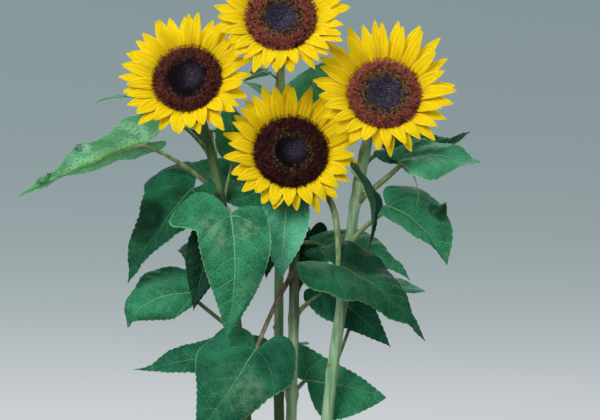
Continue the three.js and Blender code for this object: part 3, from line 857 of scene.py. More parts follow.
def growStalk(bag, leaf, rng, midrib, normal):
    # the stalk bows from the stem to the leaf and runs on under its midrib
    share = leaf["stalk"] * min(1, leaf["width"] / blade["slimWidth"])
    start, base = stemPoint(leaf["stem"], leaf["at"]), np.array(leaf["base"], float)
    bend = (start + base) / 2 + 2 * np.array((*leaf["sway"], leaf["rise"]), float)
    s = np.linspace(0, 1, 30)[:, None]
    rows = len(midrib)
    first, last = [round(share * rows) for share in blade["stalkUnder"]]
    taken = np.arange(first, last, 3)
    thin = share * between(blade["stalkEnd"], blade["stalkTip"], np.linspace(0, 1, len(taken)))
    under = midrib[taken] - normal[taken] * (0.8 * thin)[:, None]
    stalk = (1 - s) ** 2 * start + 2 * s * (1 - s) * bend + s**2 * under[0]
    path = evenly(np.concatenate([stalk, under[1:]]), blade["stalkRows"])
    way = np.linspace(0, np.linalg.norm(np.diff(path, axis=0), axis=1).sum(), len(path))
    free = np.linalg.norm(np.diff(stalk, axis=0), axis=1).sum()
    radius = share * between(blade["stalkFoot"], blade["stalkEnd"], np.clip(way / free, 0, 1))
    radius = radius * (1 + blade["stalkSwell"] * bell(way - 4, 7))
    radius = radius * between(1, 0.25, smooth(free, way[-1], way))
    angle = np.arange(blade["stalkSides"]) * 2 * math.pi / blade["stalkSides"]
    ridges = np.cos(blade["stalkRidges"] * angle + rng.uniform(0, 6))
    radii = radius[:, None] * (1 + blade["stalkRidgeDepth"] * ridges)
    bag.add(*tube(path, radii, unit(leaf["face"])), look=2)
    count, tall = int(blade["bristles"] * share), blade["bristleLength"]
    growBristles(bag, rng, path[:30], radii[:30], count, tall, look=3, slim=0.09)
    if leaf["streamer"]:
        hanging = evenly(centripetal(leaf["streamer"]), 40)
        slim = blade["streamer"] * np.linspace(1, 0.4, 40)[:, None] * np.ones(8)
        bag.add(*tube(hanging, slim), look=2)


def makeLeaves():
    numbers = dict.fromkeys(heads, 0)
    for order, row in enumerate(leafList):
        leaf = {**usualLeaf, **row}
        numbers[leaf["stem"]] += 1
        number, stem = numbers[leaf["stem"]], leaf["stem"]
        rng = np.random.default_rng(1000 + order)
        upper, lower, veins, margin, midrib, normal = bladeGrid(leaf, rng)
        bag = Bag()
        addSheet(bag, upper, lower, look=(0, 1, 0), veins=veins, margin=margin)
        growStalk(bag, leaf, rng, midrib, normal)
        finishes = [*leafTints[leaf["tint"]], stalkTints[leaf["stalkTint"]], bristleHair]
        node = f"leaf_{stem}_{number}"
        makePiece(f"leaf{stem.title()}{number}", bag, finishes, [node], crease=55)
    print("leaves made")


# Flower heads, each built facing +Z with the disc's base at the origin, then turned to its place

rays = {
    "count": 20,  # in the front row, and again in the row behind
    "rows": 20,
    "columns": 13,
    "width": 17.5,
    "widthVary": (0.82, 1.12),
    "hidden": 4,  # how much longer a ray is than what shows of it
    "tipShare": 0.1,
    "notch": 1.6,  # how deep the notch in a ray's tip can be
    # offset: of the way to the next ray; lean: degrees forward; long: as shares of the head's length
    "front": dict(offset=0, lean=32, long=(0.86, 1.04), height=0.4),
    "behind": dict(offset=0.5, lean=22, long=(0.95, 1.1), height=-1.1),
    "leanVary": 6,
    "turnVary": 0.16,  # of the way to the next ray
    "inset": 3.5,  # how far inside the disc's rim a ray starts
    "bow": 3.5,
    "recurve": (-9, 5),  # how far the tip bends back or forward
    "cup": (-0.4, 1.9),  # how far the sides are raised
    "skew": 4,
    "twist": 16,  # degrees
    "thickness": 0.35,
    "grooves": 3,
    "grooveDepth": 0.45,
    "rumple": 0.5,
    "rumplePitch": 16,
}


def headPlace(name):
    # moves points from the head as it is built to its place on the plant
    head = heads[name]
    turn = np.array(Vector((0, 0, 1)).rotation_difference(Vector(head["facing"])).to_matrix())
    return lambda points: points @ turn.T + np.array(head["centre"])


def aroundDisc(radius, across, height, turn):
    # points of a ray or bract, from how far out, across and up they lie, turned round the disc's axis
    x = radius * math.cos(turn) - across * math.sin(turn)
    y = radius * math.sin(turn) + across * math.cos(turn)
    return np.stack([x, y, height], -1)


def rayWidth(s):
    return (1 - s) ** 0.7 * (0.56 + 2.3 * s - 0.95 * s * s)


def rayGrids(head, row, turn, rng, s, v):
    # the upper and lower side of one ray: s runs from its base to its tip, v across it
    lean = math.radians(row["lean"] + rng.uniform(-1, 1) * rays["leanVary"])
    long = head["ray"] * rng.uniform(*row["long"]) + rays["hidden"]
    long = long * (1 + head["upper"] * math.sin(turn))
    wide = rays["width"] / 2 * rng.uniform(*rays["widthVary"])
    half = wide * np.maximum(rayWidth(s), rays["tipShare"] * s)
    recurve = rng.uniform(*rays["recurve"])
    skew = rng.uniform(-1, 1) * rays["skew"]
    twist = math.radians(rng.uniform(-1, 1) * rays["twist"]) * s**1.5
    along = s * long - rng.uniform(0, rays["notch"]) * (1 - v**2) * s**9
    bow = rays["bow"] * np.sin(math.pi * s) + recurve * s**2.4
    cup = rng.uniform(*rays["cup"]) * v**2 * np.sin(math.pi * np.clip(s * 1.1, 0, 1))
    crease = rays["grooveDepth"] * np.cos(math.pi * rays["grooves"] * v)
    crease = crease * smooth(0, 0.15, s) * smooth(1, 0.75, s)
    rumple = rays["rumple"] * ripples(rng, rays["rumplePitch"])(along, v * 7) * s
    rise = bow + cup + crease + rumple + v * half * np.sin(twist)
    across = (v * half + skew * s**2) * np.cos(twist)
    radius = head["disc"] - rays["inset"] + along * math.cos(lean) - rise * math.sin(lean)
    height = row["height"] + along * math.sin(lean) + rise * math.cos(lean)
    thick = rays["thickness"] / 2 * (1 - 0.5 * s)
    return [aroundDisc(radius, across, height + side * thick, turn) for side in (1, -1)]


def makeRays(name, seed):
    rng = np.random.default_rng(seed)
    head, toPlace = heads[name], headPlace(name)
    bag = Bag()
    s = (np.linspace(0, 1, rays["rows"]) ** 0.9)[:, None]
    v = np.linspace(1, -1, rays["columns"])[None]
    for row in (rays["front"], rays["behind"]):
        for place in range(rays["count"]):
            turn = place + row["offset"] + rng.uniform(-1, 1) * rays["turnVary"]
            turn = turn * 2 * math.pi / rays["count"]
            upper, lower = rayGrids(head, row, turn, rng, s, v)
            petal = np.stack(np.broadcast_arrays(s, v, np.full_like(s, rng.uniform())), -1)
            addSheet(bag, upper, lower, place=toPlace, petal=petal)
    makePiece(f"rays{name.title()}", bag, [petalGold], [f"rays_{name}"], crease=60)


florets = {
    "count": 880,
    "spread": 0.985,  # how far out the last floret stands, as a share of the disc's radius
    "goldenAngle": 137.508,
    "profile": [(0, 0.8), (0.12, 1.8), (0.26, 5.6), (0.4, 9.4), (0.6, 10.6), (0.84, 9.0), (1, 4.9)],
    "budTall": 2.4,
    "halfTall": 3.6,
    "openTall": 6.6,
    "sunk": 0.78,  # the share of a floret that stands below the disc's profile
    "budWide": 0.62,  # of the room that each floret has
    "halfWide": 0.56,
    "openWide": 0.62,
    "tallVary": (0.8, 1.2),
    "wideVary": (0.9, 1.1),
    "placeVary": 0.004,
    "leanVary": 0.14,  # radians
    "rimStart": 0.92,
    "rimTall": 1.5,  # how much taller the florets at the rim stand
    "rimLean": (0.1, 0.95),  # and how much more they lean out
    "edgeVary": 0.035,  # how uneven the borders between buds, half open and open florets are
    "toneVary": 0.45,
    "sheenPatchPlace": (0.14, 0.1),  # the middle of the patch of paler buds, painted sheen and partly their own greyer tips, off the disc's middle
    "sheenPatchReach": 0.26,
    "withWine": 0.75,  # the share of brown-red florets that show wine stigmas, the others dark ones
    "withPollen": 0.14,  # of half open florets
    "stigmaSize": 1.2,
    "pollenSize": 0.6,
    "groundDepth": (1.4, 4.6),  # how far the disc's body lies below the profile, inside and at the rim
    "groundSides": 40,
    # bodies in rings of height, outer and inner radius, and an arm of a stigma as a path with radii
    "bud": [(0, 0.7, 0.7), (0.5, 1.0, 0.86), (0.82, 0.72, 0.5), (1.06, 0, 0)],
    "half": [(0, 0.6, 0.6), (0.6, 0.95, 0.8), (0.9, 1.0, 0.55), (0.8, 0, 0)],
    "open": [(0, 0.45, 0.45), (0.86, 0.78, 0.5), (1.0, 1.3, 0.5), (0.78, 0, 0)],
    "arm": [(0, 0, 0.7), (0.12, 0.02, 1.1), (0.5, 0.06, 1.36), (0.85, 0.1, 1.3)],
    "armRadii": [0.11, 0.13, 0.11, 0.03],
}


def discHeight(share):
    known, height = zip(*florets["profile"])
    near = np.linspace(-0.05, 0.05, 7)
    return np.mean([np.interp(np.abs(share + d), known, height) for d in near], axis=0)


def ringAt(radius, angle, height):
    return np.stack([radius * np.cos(angle), radius * np.sin(angle), 0 * angle + height], -1)


def starBody(rings, sides=10):
    # a closed body from rings of height, outer and inner radius, with a sunken or raised top
    angle = np.arange(sides) * 2 * math.pi / sides
    rows = []
    for height, outer, inner in rings[:-1]:
        radius = np.where(np.arange(sides) % 2 == 0, outer, inner)
        rows.append(ringAt(radius, angle, height))
    ends = np.array([(0, 0, rings[0][0]), (0, 0, rings[-1][0])])
    return np.concatenate([*rows, ends]), closedWall(len(rows), sides)


def stigmaBody():
    # two arms that part and curl outwards
    places, faces, count = [], [], 0
    for way in (1, -1):
        path = np.array(florets["arm"]) * (way, way, 1)
        arm, batches = tube(path, np.array(florets["armRadii"])[:, None] * np.ones(3))
        places.append(arm)
        faces.append([batch + count for batch in batches])
        count += len(arm)
    return np.concatenate(places), [np.concatenate(pair) for pair in zip(*faces)]


def discGround(disc):
    # the body under the florets, from its foot over its rim to the middle of its top
    share = np.linspace(0.02, 1, 20)
    low = discHeight(share) - between(*florets["groundDepth"], smooth(0.3, 0.8, share))
    rings = [(-1.5, disc - 3, disc - 3), (1.0, disc - 1.5, disc - 1.5)]
    radius = share * disc * florets["spread"]
    rings += list(zip(low[::-1], radius[::-1], radius[::-1]))
    return starBody([*rings, (low[0], 0, 0)], florets["groundSides"])


def floretPlaces(disc, rng):
    # places in a spiral, as turns and shares of the disc's radius, and which way each floret stands
    count = florets["count"]
    n = np.arange(count)
    share = np.sqrt((n + 0.5) / count) * florets["spread"]
    turn = n * math.radians(florets["goldenAngle"]) + rng.uniform(0, 6.28)
    share = share * (1 + rng.normal(0, florets["placeVary"], count))
    slope = (discHeight(share + 0.02) - discHeight(share - 0.02)) / (0.04 * disc)
    rim = share > florets["rimStart"]
    lean = np.arctan(-slope) * 0.85 + rng.normal(0, florets["leanVary"], count)
    lean = lean + rim * rng.uniform(*florets["rimLean"], count)
    upward = np.array([0, 0, 1.0])
    stand = ringAt(1, turn, 0) * np.sin(lean)[:, None] + upward * np.cos(lean)[:, None]
    return share, turn, rim, stand


def bySort(bud, opened, name):
    # the value for buds, for open florets and for half open ones
    later = np.where(opened, florets[f"open{name}"], florets[f"half{name}"])
    return np.where(bud, florets[f"bud{name}"], later)


def makeDisc(name, seed):
    rng = np.random.default_rng(seed)
    head, toPlace = heads[name], headPlace(name)
    disc, count = head["disc"], florets["count"]
    bag = Bag()
    places, faces = discGround(disc)
    bag.add(toPlace(places), faces, tone=np.ones((len(places), 3)))

    share, turn, rim, stand = floretPlaces(disc, rng)
    bud = share < head["budded"] + rng.normal(0, florets["edgeVary"], count)
    opened = share > head["opened"] + rng.normal(0, florets["edgeVary"], count)
    half = ~bud & ~opened
    tall = bySort(bud, opened, "Tall") * rng.uniform(*florets["tallVary"], count)
    tall = tall * np.where(rim, florets["rimTall"], 1)
    room = disc * math.sqrt(math.pi / count)
    wide = bySort(bud, opened, "Wide") * room * rng.uniform(*florets["wideVary"], count)
    spin = rng.uniform(0, 6.28, count)[:, None]
    sideways = ringAt(1, turn + math.pi / 2, 0)
    first = np.cross(sideways, stand) * np.cos(spin) + sideways * np.sin(spin)
    second = np.cross(stand, first)
    foot = ringAt(share * disc, turn, discHeight(share)) - stand * (tall * florets["sunk"])[:, None]

    pick = rng.uniform(0, 1, count)
    tone = head["lit"] * rng.uniform(1 - florets["toneVary"], 1 + florets["toneVary"], count)
    red = opened & (pick < head["red"])
    # painted sheen, partly the buds' own greyer tips: buds near a point off the disc's middle take core's
    # first value, the rest its second
    left, up = florets["sheenPatchPlace"]
    patch = np.hypot(share * np.cos(turn) - left, share * np.sin(turn) - up)
    pale, dark = head["core"]
    tone = tone * np.where(bud, between(dark, pale, bell(patch, florets["sheenPatchReach"])), 1)
    tone = tone * np.where(red, head["maroon"], 1)

    def grow(body, chosen, finish, size=1.0):
        turns = np.stack([
            first[chosen] * (wide[chosen] * size)[:, None],
            second[chosen] * (wide[chosen] * size)[:, None],
            stand[chosen] * tall[chosen][:, None],
        ], -1)
        points, faces = scatter(*body, turns, foot[chosen])
        shade = np.repeat(tone[chosen], len(body[0]))
        look = list(discColours).index(finish)
        bag.add(toPlace(points), faces, look=look, tone=np.stack([shade] * 3, -1))

    stigma, openBody, halfBody = stigmaBody(), starBody(florets["open"]), starBody(florets["half"])
    wine = pick < florets["withWine"] * head["red"]
    grow(starBody(florets["bud"], 8), bud, "budViolet")
    grow(halfBody, half & (pick < head["olive"]), "halfOlive")
    grow(halfBody, half & (pick >= head["olive"]), "halfUmber")
    grow(openBody, red, "openMaroon")
    grow(openBody, opened & ~red, "openPlum")
    grow(stigma, red & wine, "stigmaWine", florets["stigmaSize"])
    grow(stigma, opened & ~wine, "stigmaDark", florets["stigmaSize"])
    grow(stigma, half & (pick > 1 - florets["withPollen"]), "pollenOchre", florets["pollenSize"])
    makePiece(f"disc{name.title()}", bag, discMaterials, [f"disc_{name}"])


calyx = {
    # heights and radii, from the stem's end up; those of the cup are shares of the disc's radius
    "stalk": [(-28, 6), (-26, 6.4), (-23, 9), (-20, 14)],
    "cup": [(-16, 0.52), (-12, 0.72), (-8, 0.86), (-5, 0.94), (-2.6, 0.97)],
    "top": -2.4,
    "cupSides": 48,
    "cupRibs": 0.985,  # the radius of every other side, as a share
    "rows": [(12, 1.33, -3.6), (12, 1.26, -5.0), (11, 1.12, -7.4)],  # count, reach, height of tips
    "foot": (0.8, -9.5),  # where the first row leaves the cup: a share of the disc's radius, and a height
    "rowStep": (-0.16, -3.4),  # and how each row after it differs
    "rowTurn": 0.33,  # of the way from one bract to the next
    "turnVary": 0.12,
    "reachVary": (0.93, 1.03),
    "heightVary": (-3, 1.5),  # millimetres, of the tip
    "bractRows": 16,
    "bractColumns": 9,
    "bulge": (2.5, -4.5),  # how far a bract bows out and down
    "width": 15,
    "widthVary": (0.85, 1.1),
    "thickness": 0.7,
    "keel": 1.4,
    "midrib": 0.5,
    "skew": 3,
}


def bractWidth(s):
    return (1 - s) ** 0.9 * (0.75 + 1.6 * s - 0.6 * s * s)


def bractGrids(start, tip, turn, rng, s, v):
    # the upper and lower side of one bract: s runs from its base to its tip, v across it
    bulge = (start + tip) / 2 + calyx["bulge"]
    path = (1 - s) ** 2 * start + 2 * s * (1 - s) * bulge + s**2 * tip
    half = calyx["width"] / 2 * rng.uniform(*calyx["widthVary"]) * bractWidth(s)
    across = v * np.maximum(half, 0.2) + rng.uniform(-1, 1) * calyx["skew"] * s**2
    keel = (calyx["keel"] * np.abs(v) ** 1.5 - calyx["midrib"] * bell(v, 0.16)) * (1 - s)
    radius = path[:, :1] + 0 * v
    height = path[:, 1:] + keel + 0.3 * ripples(rng, 9)(s * 30, v * 8)
    thick = calyx["thickness"] / 2 * (1 - 0.5 * s)
    return [aroundDisc(radius, across, height + side * thick, turn) for side in (1, -1)]


def makeCalyx(name, seed):
    rng = np.random.default_rng(seed)
    disc, toPlace = heads[name]["disc"], headPlace(name)
    bag = Bag()
    profile = calyx["stalk"] + [(z, disc * share) for z, share in calyx["cup"]]
    rings = [(z, r, r * calyx["cupRibs"]) for z, r in profile]
    places, faces = starBody([*rings, (calyx["top"], 0, 0)], calyx["cupSides"])
    bag.add(toPlace(places), faces)
    s = np.linspace(0, 1, calyx["bractRows"])[:, None]
    v = np.linspace(1, -1, calyx["bractColumns"])[None]
    for tier, (count, reach, tipHeight) in enumerate(calyx["rows"]):
        out, up = np.array(calyx["foot"]) + np.array(calyx["rowStep"]) * tier
        start = np.array((disc * out, up))
        for k in range(count):
            turn = k + calyx["rowTurn"] * tier + rng.uniform(-1, 1) * calyx["turnVary"]
            tipRadius = disc * reach * rng.uniform(*calyx["reachVary"])
            tip = np.array((tipRadius, tipHeight + rng.uniform(*calyx["heightVary"])))
            upper, lower = bractGrids(start, tip, turn * 2 * math.pi / count, rng, s, v)
            addSheet(bag, upper, lower, look=1, place=toPlace)
    makePiece(f"calyx{name.title()}", bag, [stemGreen, bractGreen], [f"calyx_{name}"], crease=60)


def makeHeads():
    for number, name in enumerate(heads):
        makeRays(name, 300 + number)
        makeDisc(name, 400 + number)
        makeCalyx(name, 500 + number)
    print("heads made")


# The crown, where the four stems rise from one foot

crown = {
    "height": 52,  # where its swellings have faded
    "sides": 72,
    "collar": 22,  # points of each stem's path that the crown wraps
    "profile": [(0, 36), (3, 34), (9, 27.5), (20, 22.5), (34, 19.5), (44, 17), (50, 13), (54, 5)],
    "swellings": 5,
    "swellDepth": 0.16,
    "collarRadii": (1.8, 0.9),  # from its foot to its top, as shares of the stems' radius
    "sunk": 22,  # how far the stems' bases reach down into it
    "voxel": 1.5,
    "softened": 6,  # times
    "girth": 26,  # the radius at which the grain has its true size
    "grain": 0.9,  # how rough the skin is
    "grainPitch": 3.2,
    "pitPitch": 9,
    "grainTop": (62, 20),  # heights between which the grain grows to its full depth
    "flat": 1.2,  # points below this lie flat on the ground
}


def crownDraft():
    # the foot and the four stem bases, as bodies that run through each other
    angle = np.arange(crown["sides"]) * 2 * math.pi / crown["sides"]
    rows = []
    for z, r in crown["profile"]:
        fade = (1 - z / crown["height"]) ** 2
        radius = r * (1 + crown["swellDepth"] * fade * np.cos(crown["swellings"] * angle))
        rows.append(ringAt(radius, angle, z))
    index, wall = ringWall(len(rows), crown["sides"])
    caps = [index[0, ::-1].tolist(), index[-1].tolist()]
    bag = Bag()
    bag.add(np.concatenate(rows), [wall, np.array(caps)])
    for name in heads:
        path = stemPath(name)[:crown["collar"]]
        path = np.concatenate([path[:1] - (0, 0, crown["sunk"]), path])
        spread = np.linspace(*crown["collarRadii"], len(path)) * stems["footRadius"]
        bag.add(*tube(path, spread[:, None] * np.ones(24)))
    return makeMesh("crownDraft", bag)


def remeshed(draft):
    # one closed skin round the draft's bodies, which takes the draft's place
    remesh = draft.modifiers.new("remesh", "REMESH")
    remesh.mode = "VOXEL"
    remesh.voxel_size = crown["voxel"] * mm
    soften = draft.modifiers.new("soften", "SMOOTH")
    soften.iterations = crown["softened"]
    skin = bpy.data.meshes.new_from_object(draft.evaluated_get(bpy.context.evaluated_depsgraph_get()))
    bpy.data.objects.remove(draft)
    return skin


def roughen(skin, rng):
    points = np.empty(len(skin.vertices) * 3, np.float32)
    skin.vertices.foreach_get("co", points)
    points = points.reshape(-1, 3).astype(float) / mm
    low = points[:, 2] < crown["flat"]
    turn = np.arctan2(points[:, 1], points[:, 0])
    around = turn * crown["girth"]
    grain = ripples(rng, crown["grainPitch"], 7)(around, points[:, 2] * 0.22)
    pits = ripples(rng, crown["pitPitch"], 6)(around, points[:, 2])
    share = crown["grain"] * (0.35 * grain + 0.3 * pits) * smooth(*crown["grainTop"], points[:, 2])
    points += ringAt(1, turn, 0) * share[:, None]
    points[low, 2] = 0
    skin.vertices.foreach_set("co", (points * mm).astype(np.float32).ravel())


def makeCrown():
    skin = remeshed(crownDraft())
    roughen(skin, np.random.default_rng(7))
    skin.shade_smooth()
    skin.materials.append(crownBark)
    piece = bpy.data.objects.new("crown", skin)
    scene.collection.objects.link(piece)
    finishPiece(piece, ["root_crown"])
    print("crown made")


# Finishes

leafLook = {
    "sideVein": 0.046,  # half its breadth, as a share of the way to the next one
    "weakVein": 0.45,  # how plainly the upper side veins show, beside the two lowest ones
    "midrib": (0.5, 1.4),  # millimetres from its middle between which it fades
    "netScale": 0.2,  # of the net of the finest veins
    "netLine": 0.1,
    "patchScale": 0.026,
    "crinkleScale": 0.6,
    "margin": (0.965, 0.99),  # shares of the way out between which the margin's line sets in
    "marginShare": 0.8,
    "glowMarginShare": 0.15,
    "glowBand": (2, 9),  # millimetres from the midrib between which the band beside it fades
    "glowShare": 0.85,
    "paintedShadeColour": (0.003, 0.026, 0.012),
    "crinkleTone": (0.78, 1.16),
    "puff": 0.55,  # how much the small fields between the finest veins stand out
    "veinSink": 0.7,
    "relief": 0.0011,
    "reliefStrength": 0.85,
    "through": 0.5,  # how much light a leaf with a glow lets through
    "throughColour": (0.6, 1, 0.55),
}


def mix(a, b, share=0.5):
    return tuple(between(p, q, share) for p, q in zip(a, b))


def leafVeins(material, number, across, far, plane):
    # 1 on the midrib and the side veins, 0 between them
    width = sums(material, "ABSOLUTE", across)
    nearest = sums(material, "SUBTRACT", number, sums(material, "ROUND", number))
    fine = noise(material, plane, 0.1, 2)
    wander = sums(material, "SUBTRACT", sums(material, "ABSOLUTE", nearest), 0.06)
    wander = sums(material, "MULTIPLY_ADD", fine, 0.12, wander)
    sideVein = span(material, wander, 0.0, leafLook["sideVein"], 1, 0)
    strong = span(material, sums(material, "ABSOLUTE", number), 0.3, 0.7, 1, leafLook["weakVein"])
    fade = span(material, width, 0, 60, 1, 0.25)
    sideVein = sums(material, "MULTIPLY", sideVein, sums(material, "MULTIPLY", strong, fade))
    taper = sums(material, "DIVIDE", width, sums(material, "SUBTRACT", 1.15, far))
    slim = span(material, taper, *leafLook["midrib"], 1, 0)
    midrib = sums(material, "MULTIPLY", slim, span(material, far, 0.5, 1, 1, 0.4))
    return sums(material, "MAXIMUM", midrib, sideVein)


def makeLeafFinish(name, deep, fresh, vein, gloss=0.5, netShare=0.2, veinShare=0.8, glow=None):
    # the veins attribute holds the side vein's number, then the place across and along the blade,
    # and the margin attribute how near the margin it is, how far along, and any patch: painted shade
    # above 0, painted sheen below 0
    material = newMaterial(name, roughness=gloss, specular=0.06)
    number, across, along = split(material, mark(material, "veins"))
    nearMargin, far, paintedShade = split(material, mark(material, "margin"))
    plane = addNode(material, "ShaderNodeCombineXYZ", {"X": across, "Y": along}).outputs["Vector"]
    veins = leafVeins(material, number, across, far, plane)
    net = addNode(material, "ShaderNodeTexVoronoi", {"Vector": plane, "Scale": leafLook["netScale"]},
                  feature="DISTANCE_TO_EDGE").outputs["Distance"]
    netLine = span(material, net, 0.0, leafLook["netLine"], 1, 0)
    crinkle = noise(material, plane, leafLook["crinkleScale"], 4)

    patch = noise(material, plane, leafLook["patchScale"], 4, 0.6)
    colour = blend(material, span(material, patch, 0.36, 0.64), deep, fresh)
    # painted sheen: where the patch value is below 0, the colour turns towards a pale tan-grey, broken up
    # by clouds
    cloud = span(material, noise(material, plane, 0.11, 3, 0.6), 0.3, 0.62)
    paintedSheen = sums(material, "MULTIPLY", sums(material, "MULTIPLY", paintedShade, -1.0), cloud)
    paintedSheenColour = tuple(0.45 * a + 0.13 * b for a, b in zip(fresh, (1.4, 1.6, 1)))
    colour = blend(material, span(material, paintedSheen, 0, 1), colour, paintedSheenColour)
    if glow:  # painted light: a brighter band beside the midrib, which fades towards the tip
        width = sums(material, "ABSOLUTE", across)
        band = span(material, width, *leafLook["glowBand"], leafLook["glowShare"], 0)
        band = sums(material, "MULTIPLY", band, span(material, far, 0.4, 0.75, 1, 0.15))
        colour = blend(material, band, colour, glow)
    colour = blend(material, sums(material, "MULTIPLY", netLine, netShare), colour, mix(fresh, vein))
    colour = blend(material, sums(material, "MULTIPLY", veins, veinShare), colour, vein)
    marginShare = leafLook["glowMarginShare" if glow else "marginShare"]
    marginLine = span(material, nearMargin, *leafLook["margin"], 0, marginShare)
    colour = blend(material, marginLine, colour, vein)
    # painted shade: where the patch value is above 0, the colour turns towards a dark green
    colour = blend(material, sums(material, "MAXIMUM", paintedShade, 0.0), colour, leafLook["paintedShadeColour"])
    shade = span(material, crinkle, 0.3, 0.72, *leafLook["crinkleTone"])
    setInput(material, "Base Color", blend(material, 1.0, colour, shade, "MULTIPLY"))
    puff = span(material, net, 0.0, 0.4, 0, leafLook["puff"])
    relief = sums(material, "MULTIPLY_ADD", crinkle, 0.5, puff)
    relief = sums(material, "MULTIPLY_ADD", veins, -leafLook["veinSink"], relief)
    bump(material, relief, leafLook["relief"], leafLook["reliefStrength"])
    if glow:
        letThrough(material, leafLook["through"], leafLook["throughColour"])
    setInput(material, "Roughness", span(material, crinkle, 0.2, 0.8, gloss - 0.08, gloss + 0.12))
    return material


def makeStemFinish(name, deep, pale, streakScale=110, low=None, change=(0.5, 0.6)):
    material = newMaterial(name, roughness=0.55, specular=0.3)
    streak = noise(material, coordinates(material, (1, 1, 0.04)), streakScale, 4, 0.6)
    patch = noise(material, coordinates(material), 14, 3)
    streaked = span(material, streak, 0.36, 0.64)
    colour = blend(material, streaked, deep, pale)
    if low:  # another tone below a height
        height = split(material, coordinates(material))["Z"]
        colour = blend(material, span(material, height, *change), blend(material, streaked, *low), colour)
    darker = mix(deep, (0, 0, 0), 0.3)
    colour = blend(material, span(material, patch, 0.52, 0.8, 0, 0.5), colour, darker)
    setInput(material, "Base Color", colour)
    grain = noise(material, coordinates(material, (1, 1, 0.12)), streakScale * 4, 4)
    bump(material, grain, 0.0005, 0.8)
    return material


petalLook = {
    "gold": (0.99, 0.69, 0.006),
    "streak": (0.9, 0.47, 0.003),
    # foot: partly the ray's own deeper orange, partly painted shade beside the disc
    "foot": (0.88, 0.42, 0.003),
    "edge": (0.99, 0.76, 0.05),
    "through": 0.35,
    "throughColour": (1, 0.7, 0.1),
}


def makePetalFinish():
    # the petal attribute holds the place along and across the ray, and a number for each ray
    material = newMaterial("petalGold", roughness=0.62, specular=0.04)
    along, across, number = split(material, mark(material, "petal"))
    lines = addNode(material, "ShaderNodeCombineXYZ", {
        "X": sums(material, "MULTIPLY", along, 1.2), "Y": sums(material, "MULTIPLY", across, 9),
        "Z": sums(material, "MULTIPLY", number, 40),
    }).outputs["Vector"]
    streak = noise(material, lines, 1.4, 3)
    streaked = span(material, streak, 0.35, 0.7, 0, 0.7)
    colour = blend(material, streaked, petalLook["gold"], petalLook["streak"])
    # deeper orange towards the foot: partly the ray's own colour, partly painted shade where the rays
    # meet the disc
    colour = blend(material, span(material, along, 0.5, 0.0, 0, 0.55), colour, petalLook["foot"])
    edge = span(material, sums(material, "ABSOLUTE", across), 0.72, 1, 0, 0.6)
    colour = blend(material, edge, colour, petalLook["edge"])
    setInput(material, "Base Color", colour)
    bump(material, streak, 0.0012, 0.8)
    letThrough(material, petalLook["through"], petalLook["throughColour"])
    return material


def makePlainFinish(name, colour, roughness=0.6, specular=0.3, scale=900, vary=0.25, toned=False):
    # one base colour, with fine uneven tone and relief; the tone attribute can dim or brighten it
    material = newMaterial(name, roughness=roughness, specular=specular)
    fleck = noise(material, coordinates(material), scale, 2)
    dark = tuple(c * (1 - vary) for c in colour)
    light = tuple(min(1, c * (1 + vary)) for c in colour)
    tint = blend(material, fleck, dark, light)
    if toned:
        tint = blend(material, 1.0, tint, mark(material, "tone"), "MULTIPLY")
    setInput(material, "Base Color", tint)
    bump(material, fleck, 0.0003, 0.5)
    return material


# on the upper side and below: the darker green, the fresher one, and the veins
leafColours = {
    "green": dict(
        upper=[(0.014, 0.145, 0.064), (0.034, 0.245, 0.118), (0.19, 0.43, 0.22)],
        under=[(0.07, 0.25, 0.12), (0.12, 0.34, 0.17), (0.26, 0.45, 0.21)],
    ),
    "mid": dict(
        upper=[(0.007, 0.082, 0.04), (0.016, 0.15, 0.077), (0.12, 0.30, 0.15)],
        under=[(0.05, 0.2, 0.1), (0.09, 0.28, 0.14), (0.22, 0.4, 0.18)],
    ),
    "deep": dict(
        upper=[(0.003, 0.05, 0.022), (0.008, 0.105, 0.046), (0.08, 0.22, 0.09)],
        under=[(0.03, 0.13, 0.07), (0.05, 0.19, 0.1), (0.16, 0.3, 0.13)],
    ),
    # painted shade: a darker copy of the leaf colours for leaves that lie in the shade of the heads and
    # other leaves
    "paintedShade": dict(
        upper=[(0.003, 0.025, 0.013), (0.006, 0.05, 0.026), (0.05, 0.13, 0.06)],
        under=[(0.012, 0.06, 0.03), (0.022, 0.09, 0.046), (0.07, 0.17, 0.07)],
    ),
    # painted light: a brighter copy of the leaf colours for leaves in the gaps among the heads, which lie
    # in their shadow
    "light": dict(
        upper=[(0.05, 0.33, 0.18), (0.11, 0.46, 0.28), (0.36, 0.62, 0.4)],
        under=[(0.1, 0.33, 0.15), (0.15, 0.4, 0.21), (0.42, 0.62, 0.34)],
        netShare=0.6,
    ),
    "pale": dict(
        upper=[(0.02, 0.17, 0.08), (0.045, 0.265, 0.14), (0.24, 0.46, 0.24)],
        under=[(0.2, 0.56, 0.32), (0.28, 0.66, 0.42), (0.6, 0.85, 0.6)],
        netShare=0.6, veinShare=0.9, glow=(0.2, 0.55, 0.12),
    ),
}


def makeLeafTint(name, upper, under, netShare=0.4, **more):
    return (
        makeLeafFinish(f"{name}Upper", *upper),
        makeLeafFinish(f"{name}Under", *under, gloss=0.62, netShare=netShare, **more),
    )


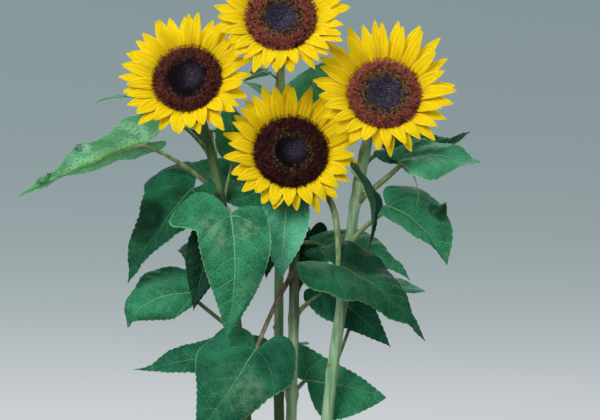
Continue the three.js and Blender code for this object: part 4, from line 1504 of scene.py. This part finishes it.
leafTints = {name: makeLeafTint(name, **colours) for name, colours in leafColours.items()}
stemGreen = makeStemFinish("stemGreen", (0.10, 0.20, 0.085), (0.22, 0.36, 0.17))
stemTints = {
    "left": makeStemFinish("stemMoss", (0.045, 0.1, 0.032), (0.11, 0.22, 0.075)),
    # painted light on the upper part, which lies in the top head's shadow, and painted shade below the
    # change in height
    "top": makeStemFinish("stemShade", (0.17, 0.31, 0.15), (0.33, 0.5, 0.28),
                          low=((0.05, 0.1, 0.045), (0.1, 0.18, 0.08)), change=(0.49, 0.56)),
    # painted shade: dark olive above the change in height, where the middle stem runs under its head, and
    # a paler green below
    "middle": makeStemFinish("stemPaintedShadeAbove", (0.04, 0.065, 0.03), (0.12, 0.15, 0.075),
                             low=((0.2, 0.35, 0.17), (0.44, 0.62, 0.4)), change=(0.53, 0.59)),
    "right": makeStemFinish("stemPale", (0.13, 0.29, 0.13), (0.4, 0.6, 0.37)),
}
scarTan = makePlainFinish("scarTan", (0.22, 0.25, 0.11), 0.7, 0.2)
stalkTints = {
    "green": makeStemFinish("stalkGreen", (0.09, 0.14, 0.055), (0.2, 0.29, 0.12), 160),
    "rust": makeStemFinish("stalkRust", (0.10, 0.08, 0.04), (0.24, 0.195, 0.11), 160),
}
crownBark = makeStemFinish("crownBark", (0.10, 0.19, 0.08), (0.24, 0.33, 0.16), 90,
                           low=((0.13, 0.14, 0.05), (0.28, 0.26, 0.12)), change=(0.02, 0.075))
bractGreen = makeStemFinish("bractGreen", (0.05, 0.17, 0.045), (0.12, 0.29, 0.09), 200)
bristleHair = makePlainFinish("bristleHair", (0.55, 0.62, 0.42), 0.5, 0.3)
petalGold = makePetalFinish()
discColours = {
    "discGround": (0.012, 0.006, 0.006),
    "budViolet": (0.048, 0.040, 0.064),
    "halfOlive": (0.07, 0.042, 0.016),
    "halfUmber": (0.024, 0.011, 0.010),
    "openMaroon": (0.18, 0.054, 0.038),
    "openPlum": (0.046, 0.013, 0.017),
    "stigmaWine": (0.20, 0.063, 0.036),
    "stigmaDark": (0.022, 0.006, 0.009),
    "pollenOchre": (0.32, 0.16, 0.03),
}
discMaterials = [
    makePlainFinish(name, colour, 0.65, 0.04, toned=True) for name, colour in discColours.items()
]
print("finishes made")

makeStudio()
makeCamera()
makeCrown()
makeStems()
makeHeads()
makeLeaves()
